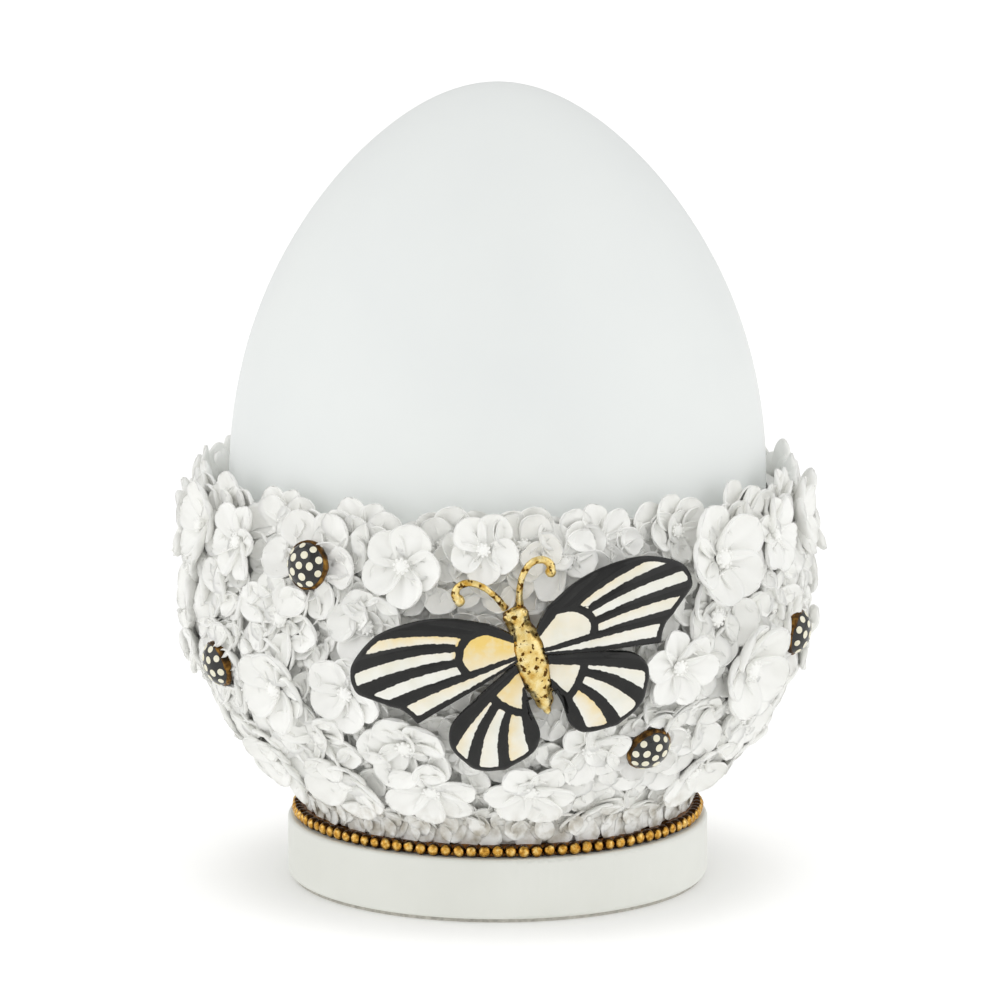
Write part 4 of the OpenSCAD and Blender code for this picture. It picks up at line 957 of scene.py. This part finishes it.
for side in (-1, 1):
    alone()
    bpy.ops.mesh.primitive_uv_sphere_add(segments=16, ring_count=10, radius=1.1 * mm,
        location=(side * 2.3 * mm, 0.43 * insect_l, back_lift + 1.9 * mm))
    eyes.append(bpy.context.object)
body = wrap(joined("fine_butterfly_body", [body] + eyes))
hammered = bpy.data.textures.new("hammered", "CLOUDS")
hammered.noise_scale = 1.6 * mm
applied(body, "DISPLACE", texture=hammered, texture_coords="LOCAL", strength=0.4 * mm)
pins = []
for share in (-0.3, 0.13):
    alone()
    bpy.ops.mesh.primitive_cylinder_add(vertices=20, radius=1.5 * mm, depth=5 * mm,
        location=(0, share * insect_l, back_lift / 2 + 0.6 * mm))
    pin = bpy.context.object
    bpy.ops.object.transform_apply(location=True, rotation=False, scale=False)
    pins.append(wrap(pin))
body = joined("fine_butterfly_body", [body] + pins)
finished(smooth(body, 50), "base", leaf, ["butterfly_body"])

# Antennae: two tapering wires soldered to the head, curled over at their clubbed ends and
# covered with the same pitted leaf.
feeler = [(0.05, 0.44, 3.6), (0.058, 0.49, 5.2), (0.07, 0.55, 7.2), (0.103, 0.655, 9.2),
    (0.153, 0.745, 10.1), (0.205, 0.8, 10.3), (0.262, 0.832, 10.3), (0.32, 0.838, 10.2),
    (0.37, 0.82, 10.1), (0.402, 0.78, 10.0), (0.407, 0.737, 9.9), (0.385, 0.705, 9.8)]
girth = [1.35, 1.2, 1.05, 0.95, 0.95, 1.0, 1.05, 1.1, 1.15, 1.25, 1.4, 1.45]
parts = []
for side in (-1, 1):
    line = [leaning(side * x * insect_l, y * insect_l, z * mm) for x, y, z in feeler]
    wire = bpy.data.curves.new("feeler", "CURVE")
    wire.dimensions = "3D"
    wire.bevel_depth = 0.92 * mm
    wire.bevel_resolution = 3
    wire.use_fill_caps = True
    spline = wire.splines.new("NURBS")
    spline.points.add(len(feeler) - 1)
    spline.order_u = 4
    spline.use_endpoint_u = True
    spline.resolution_u = 5
    for point, place, r in zip(spline.points, line, girth):
        point.co = (*place, 1)
        point.radius = r
    bent = bpy.data.objects.new("feeler", wire)
    bpy.context.scene.collection.objects.link(bent)
    only(bent)
    bpy.ops.object.convert(target="MESH")
    parts.append(bpy.context.object)
    alone()
    bpy.ops.mesh.primitive_uv_sphere_add(segments=16, ring_count=10, radius=1.45 * mm,
        location=line[-1], scale=(1, 1, 1.1))
    parts.append(bpy.context.object)
antennae = joined("fine_butterfly_antennae", parts)
applied(antennae, "DISPLACE", texture=hammered, texture_coords="LOCAL", strength=0.3 * mm)
finished(smooth(antennae, 60), "base", leaf, ["butterfly_antennae"])

# Wings: thin cast plates with raised veins, enamelled by hand. The veins, the leading edge
# and the margin are black and the cells between are ivory, washed here and there with
# warm yellow. The paint follows each wing's own distances from vein and margin.
enamel, tree, shader, place = blank("black and ivory enamel")
mark = add(tree, "ShaderNodeAttribute", attribute_name="paint").outputs["Fac"]
shaky = add(tree, "ShaderNodeTexNoise", [place, 1 / (1.4 * mm), 3])
wobble = add(tree, "ShaderNodeMapRange", [shaky, 0.25, 0.75, -0.16, 0.16])
edge = add(tree, "ShaderNodeMath", [mark, wobble], operation="ADD")
ivory = add(tree, "ShaderNodeMapRange", [edge, -0.05, 0.09], interpolation_type="SMOOTHSTEP")
black_coat = add(tree, "ShaderNodeTexNoise", [place, 1 / (5 * mm), 3])
black = add(tree, "ShaderNodeValToRGB", [black_coat],
    stops=[(0.35, "#0d0d0c"), (0.65, "#181816")])
ivory_coat = add(tree, "ShaderNodeTexNoise", [place, 1 / (7 * mm), 2])
pale = add(tree, "ShaderNodeValToRGB", [ivory_coat], stops=[(0.3, "#e6e7de"), (0.6, "#f0f1eb")])
wash = add(tree, "ShaderNodeAttribute", attribute_name="glaze").outputs["Fac"]
streaks = add(tree, "ShaderNodeTexNoise", [place, 1 / (3 * mm), 3])
uneven_wash = add(tree, "ShaderNodeMapRange", [streaks, 0.3, 0.6, 0.7, 1.3])
brushed = add(tree, "ShaderNodeMath", [wash, uneven_wash], operation="MULTIPLY")
warm = add(tree, "ShaderNodeMix", [brushed, pale, linear("#efcf76")], data_type="RGBA")
painted = add(tree, "ShaderNodeMix", [ivory, black, warm], data_type="RGBA")
flow = add(tree, "ShaderNodeTexNoise", [place, 1 / (2.6 * mm), 2])
pooled = add(tree, "ShaderNodeBump", {"Height": flow, "Strength": 1.0, "Distance": 0.06 * mm})
fill(tree, shader.inputs["Base Color"], painted)
fill(tree, shader.inputs["Normal"], pooled)
fill(tree, shader.inputs["Roughness"], add(tree, "ShaderNodeMapRange", [ivory, 0, 1, 0.17, 0.32]))
shader.inputs["IOR"].default_value = 1.43


def curve(points, t):
    """A smooth line through given points, at t from 0 to 1."""
    x = t * (len(points) - 1)
    i = min(int(x), len(points) - 2)
    f = x - i
    a, b, c, d = [Vector(points[max(0, min(len(points) - 1, i + k))]) for k in (-1, 0, 1, 2)]
    return 0.5 * (2 * b + (c - a) * f + (2 * a - 5 * b + 4 * c - d) * f * f
        + (3 * b - a - 3 * c + d) * f ** 3)


def body_side(y, height):
    """How far the body's side lies from its middle line, at a height over the bowl."""
    width = station(y / insect_l)
    f = min(0.98, (height - back_lift) / (insect_depth * width))
    return insect_half * width * math.sqrt(1 - f * f)


def wing(name, shares, roots, step, mirrored, droop, veins, cell, bow, glazes):
    """One wing: a grid fanned out from its root line to its outline, then thickened.
    The roots are shares of the body's length, the step lifts it over the other pair, and
    the cell is the share of its reach that the cell at its root takes. The glazes are
    shares of warm wash: first that cell's, then those between each two veins from the
    second on, with -1 where such a cell is black."""
    rooted, arch_more = 0.3, 2.6
    vein_half, vein_more, vein_rise = 0.65, 1.35, 0.4
    margin_wide, margin_more, edge_round = 1.2, 0.4, 0.45
    line_steps, margin_steps = 12, 90
    alone()
    bpy.ops.mesh.primitive_grid_add(x_subdivisions=44, y_subdivisions=veins * 12, size=1)
    piece = bpy.context.object
    side = -1 if mirrored else 1

    def fan(u, v):
        y = insect_l * (roots[0] + (roots[1] - roots[0]) * v)
        root = Vector((body_side(y, wing_root + step * mm) - rooted * mm, y))
        end = drooped(curve(shares, v), droop) * wing_reach
        way = end - root
        arch = (bow + arch_more * math.sin(math.pi * v) ** 2) * mm * math.sin(math.pi * u)
        return root + way * u + Vector((-way.y, way.x)).normalized() * arch

    margin = [fan(1, k / margin_steps) for k in range(margin_steps + 1)]
    lines = []
    for k in range(veins + 1):
        first = 0 if k in (0, 1, veins - 1, veins) else cell
        lines.append([fan(first + (1 - first) * j / line_steps, k / veins)
            for j in range(line_steps + 1)])
    lines.append([fan(cell - 0.05 * math.sin(math.pi * j / line_steps),
        (1 + (veins - 2) * j / line_steps) / veins) for j in range(line_steps + 1)])
    paint = piece.data.attributes.new("paint", "FLOAT", "POINT")
    glaze = piece.data.attributes.new("glaze", "FLOAT", "POINT")
    relief = []
    for v in piece.data.vertices:
        u, w = v.co.x + 0.5, v.co.y + 0.5
        p = fan(u, w)
        vein = min(to_line(p, line) for line in lines) / mm
        rim = to_line(p, margin) / mm
        half = (vein_half + vein_more * u) * (1 - 0.25 * w)
        k = min(int(w * veins), veins - 1)
        closed = k == 0 or glazes[k] < 0 and (u > cell or k == veins - 1)
        bare = min(vein - half, rim - (margin_wide + margin_more * w))
        paint.data[v.index].value = -1 if closed else bare
        k = 0 if u < cell else k
        across = 0.8 * w if u < cell else w * veins - k
        glaze.data[v.index].value = max(0, glazes[k]) * max(0, 1.3 - 1.5 * across) * (1.1 - 0.4 * u)
        t = min(1, max(0, p.length - insect_half) / (wing_reach * 0.36))
        height = wing_root + (wing_tip - wing_root) * (1 - (1 - t) ** 2) + step * mm
        ridge = vein_rise * max(0, 1 - (vein / half) ** 2) * min(1, 2.5 * u)
        ridge -= edge_round * max(0, 1 - rim / 0.7) ** 2
        v.co = wrapped(side * p.x, p.y, height + wing_thick)
        relief.append(wrapped(side * p.x, p.y, height + wing_thick + ridge * mm) - v.co)
    bpy.ops.object.mode_set(mode="EDIT")
    bpy.ops.mesh.select_all(action="SELECT")
    if mirrored:
        bpy.ops.mesh.flip_normals()
    bpy.ops.object.mode_set(mode="OBJECT")
    out = sum((f.normal for f in piece.data.polygons), Vector())
    towards = wrapped(0, 0, 0) * Vector((1, 1, 0))
    if out.dot(towards) < 0:
        bpy.ops.object.mode_set(mode="EDIT")
        bpy.ops.mesh.flip_normals()
        bpy.ops.object.mode_set(mode="OBJECT")
    applied(piece, "SOLIDIFY", thickness=wing_thick, offset=-1)
    for v, rise in zip(piece.data.vertices, relief):
        v.co += rise
    piece.name = "fine_" + name
    finished(smooth(piece, 50), "base", enamel, [name])


fore_roots, fore_step, fore_veins, fore_cell, fore_bow = (0.27, 0.05), 1.5, 6, 0.36, 0.3
hind_roots, hind_step, hind_veins, hind_cell, hind_bow = (0.02, -0.24), 0, 5, 0.34, 0.2
wing("right_forewing", forewing, fore_roots, fore_step, False, -1, fore_veins, fore_cell,
    fore_bow, (0.25, -1, 0.4, 0.1, 0.3, 0.2))
wing("right_hindwing", hindwing, hind_roots, hind_step, False, 0, hind_veins, hind_cell,
    hind_bow, (0.25, 0.2, 0.2, 0.7, -1))
wing("left_forewing", forewing, fore_roots, fore_step, True, forewing_droop - 1.5, fore_veins,
    fore_cell, fore_bow, (1, -1, 0.8, 0.2, 0.1, 0.4))
wing("left_hindwing", hindwing, hind_roots, hind_step, True, hindwing_droop, hind_veins,
    hind_cell, hind_bow, (0.7, 0.5, 0.2, 0.6, -1))

# Inside the egg: the moulded seat ring with its soft gasket, and the lamp carrier, each
# screwed to the bowl's floor, with a grommet where the leads come through. The silicone
# gasket is smooth and pale grey, and the grommet's rubber is black and matt.
thirds = (90, 210, 330)
refined("shade_seat", "base", moulded, 0.25)
silicone = surface("translucent silicone", ["#d2d3d0", "#dedfdc"], 8, (0.5, 0.62), (0.4, 0.01),
    ior=1.41)[0]
refined("shade_gasket", "base", silicone, 0.3)
screws("seat_screws", "base", screw(2.8, 1.8, 1.5, 7), round_places(thirds, 45.39, 38), driven)
refined("lamp_carrier", "base", moulded, 0.25)
screws("carrier_screws", "base", screw(2.8, 1.8, 1.5, 5.5), round_places(thirds, 17.5, 36.5),
    driven)
screws("bowl_screws", "base", screw(2.8, 1.8, 1.5, 9.5),
    round_places((45, 135, 225, 315), 45.7, 14, True), driven)
rubber = surface("black rubber", ["#151515", "#222222"], 4, (0.7, 0.85), (0.25, 0.02))[0]
refined("lead_grommet", "base", rubber, 0.25)

# Lamp board: a round glass-fibre board under glossy green solder mask, through which two
# rings of copper show lighter. It carries the lamps and is screwed to their carrier.
ring_edge = 0.0001
mask, tree, shader, place, tone = surface("green solder mask", ["#134a2c", "#1b6038"], 9,
    (0.18, 0.3), (0.4, 0.01))
flat = add(tree, "ShaderNodeVectorMath", [place, (1, 1, 0)], operation="MULTIPLY")
reach = add(tree, "ShaderNodeVectorMath", [flat], operation="LENGTH")
rings = []
for from_r, to_r in ((0.0088, 0.0104), (0.0166, 0.0181)):
    begun = add(tree, "ShaderNodeMapRange", [reach, from_r, from_r + ring_edge])
    unended = add(tree, "ShaderNodeMapRange", [reach, to_r, to_r - ring_edge])
    rings.append(add(tree, "ShaderNodeMath", [begun, unended], operation="MULTIPLY"))
copper = add(tree, "ShaderNodeMath", rings, operation="MAXIMUM")
veiled = add(tree, "ShaderNodeMath", [copper, 0.7], operation="MULTIPLY")
board_tone = add(tree, "ShaderNodeMix", [veiled, tone, linear("#3f8f4e")], data_type="RGBA")
fill(tree, shader.inputs["Base Color"], board_tone)
refined("lamp_board", "base", mask, 0.1)
screws("board_screws", "base", screw(1.5, 0.9, 1.05, 4.5), round_places(thirds, 15, 61.6), driven)

# Lamps: warm white lamps of clear cast resin with a flange, over a chip in a yellow phosphor
# drop near the foot. They are off, so the resin only shows its milky depth.
resin_lens, tree, shader, place, tone = surface("clear cast lamp resin", ["#e9e6cf", "#f4f2e2"],
    5, (0.05, 0.12), (0.8, 0.01), ior=1.54)
up = add(tree, "ShaderNodeSeparateXYZ", [place]).outputs["Z"]
near_chip = add(tree, "ShaderNodeMapRange", [up, 0.0625, 0.066, 1, 0],
    interpolation_type="SMOOTHSTEP")
lens_tone = add(tree, "ShaderNodeMix", [near_chip, tone, linear("#e2c555")], data_type="RGBA")
fill(tree, shader.inputs["Base Color"], lens_tone)
shader.inputs["Transmission Weight"].default_value = 0.55
refined("lamps", "base", resin_lens)

# Leads: stranded copper in soft glossy insulation, red from the battery and the switch and
# black back to the battery, run loosely under the bowl and up through the grommet.
red_lead = surface("red lead insulation", ["#8e1512", "#a31c18"], 6, (0.3, 0.42), (0.5, 0.01))[0]
black_lead = surface("black lead insulation", ["#161616", "#212121"], 6, (0.3, 0.42),
    (0.5, 0.01))[0]
refined("battery_lead", "base", red_lead)
leads = refined("lamp_leads", "base", red_lead)
leads.data.materials.append(black_lead)


def whole_pieces(mesh):
    """The loose pieces of a bmesh, each a list of its faces."""
    seen, pieces = set(), []
    for face in mesh.faces:
        if face in seen:
            continue
        piece, queue = [], [face]
        seen.add(face)
        while queue:
            f = queue.pop()
            piece.append(f)
            for g in (g for e in f.edges for g in e.link_faces):
                if g not in seen:
                    seen.add(g)
                    queue.append(g)
        pieces.append(piece)
    return pieces


mesh = bmesh.new()
mesh.from_mesh(leads.data)
for piece in whole_pieces(mesh):
    if min(v.co.x for f in piece for v in f.verts) < -1 * mm:
        for f in piece:
            f.material_index = 1
mesh.to_mesh(leads.data)
mesh.free()

# Glass egg: opal glass blown into a mould, open at the foot, with a fire-polished rim. Its
# surface is acid-frosted, so it spreads the light and shows only a faint sheen.
opal, tree, shader, place, tone = surface("frosted opal glass", ["#e7eae9", "#ebeeec"], 60,
    (0.4, 0.5), (0.4, 0.003), ior=1.5)
shader.inputs["Subsurface Weight"].default_value = 0.25
shader.inputs["Subsurface Radius"].default_value = (1.0, 1.0, 1.0)
shader.inputs["Subsurface Scale"].default_value = 0.003
shader.inputs["Specular IOR Level"].default_value = 0.35

# In millimetres: its greatest radius and where it lies, its heights over and under that,
# how far under that the rim lies, and the glass's thickness. The crown is drawn in by a share.
egg_r, egg_level, crown, drop, rim_drop, glass = 76.5, 115, 113, 90, 75, 3
taper, taper_power = 0.16, 2.7
egg_steps = 40


def egg_outline(r, top, bottom):
    """Radius and height along one face of the glass, from the rim up to the crown."""
    foot = math.asin(rim_drop / bottom)
    line = []
    for i in range(egg_steps):
        a = -foot * (1 - i / egg_steps)
        line.append((r * math.cos(a), egg_level + bottom * math.sin(a)))
    for i in range(egg_steps + 1):
        a = math.pi / 2 * i / egg_steps
        line.append((r * math.cos(a) * (1 - taper * math.sin(a) ** taper_power),
            egg_level + top * math.sin(a)))
    line[-1] = (0, egg_level + top)
    return line


outer = egg_outline(egg_r, crown, drop)
inner = egg_outline(egg_r - glass, crown - glass, drop - glass)
lip = [(outer[0][0] - 0.25, outer[0][1] - 0.02), (inner[0][0] + 0.25, inner[0][1] - 0.02)]
egg = turned("fine_egg_shade", list(reversed(outer)) + lip + inner, 128)
finished(smooth(egg, 60), "shade", opal, ["egg_shade"])
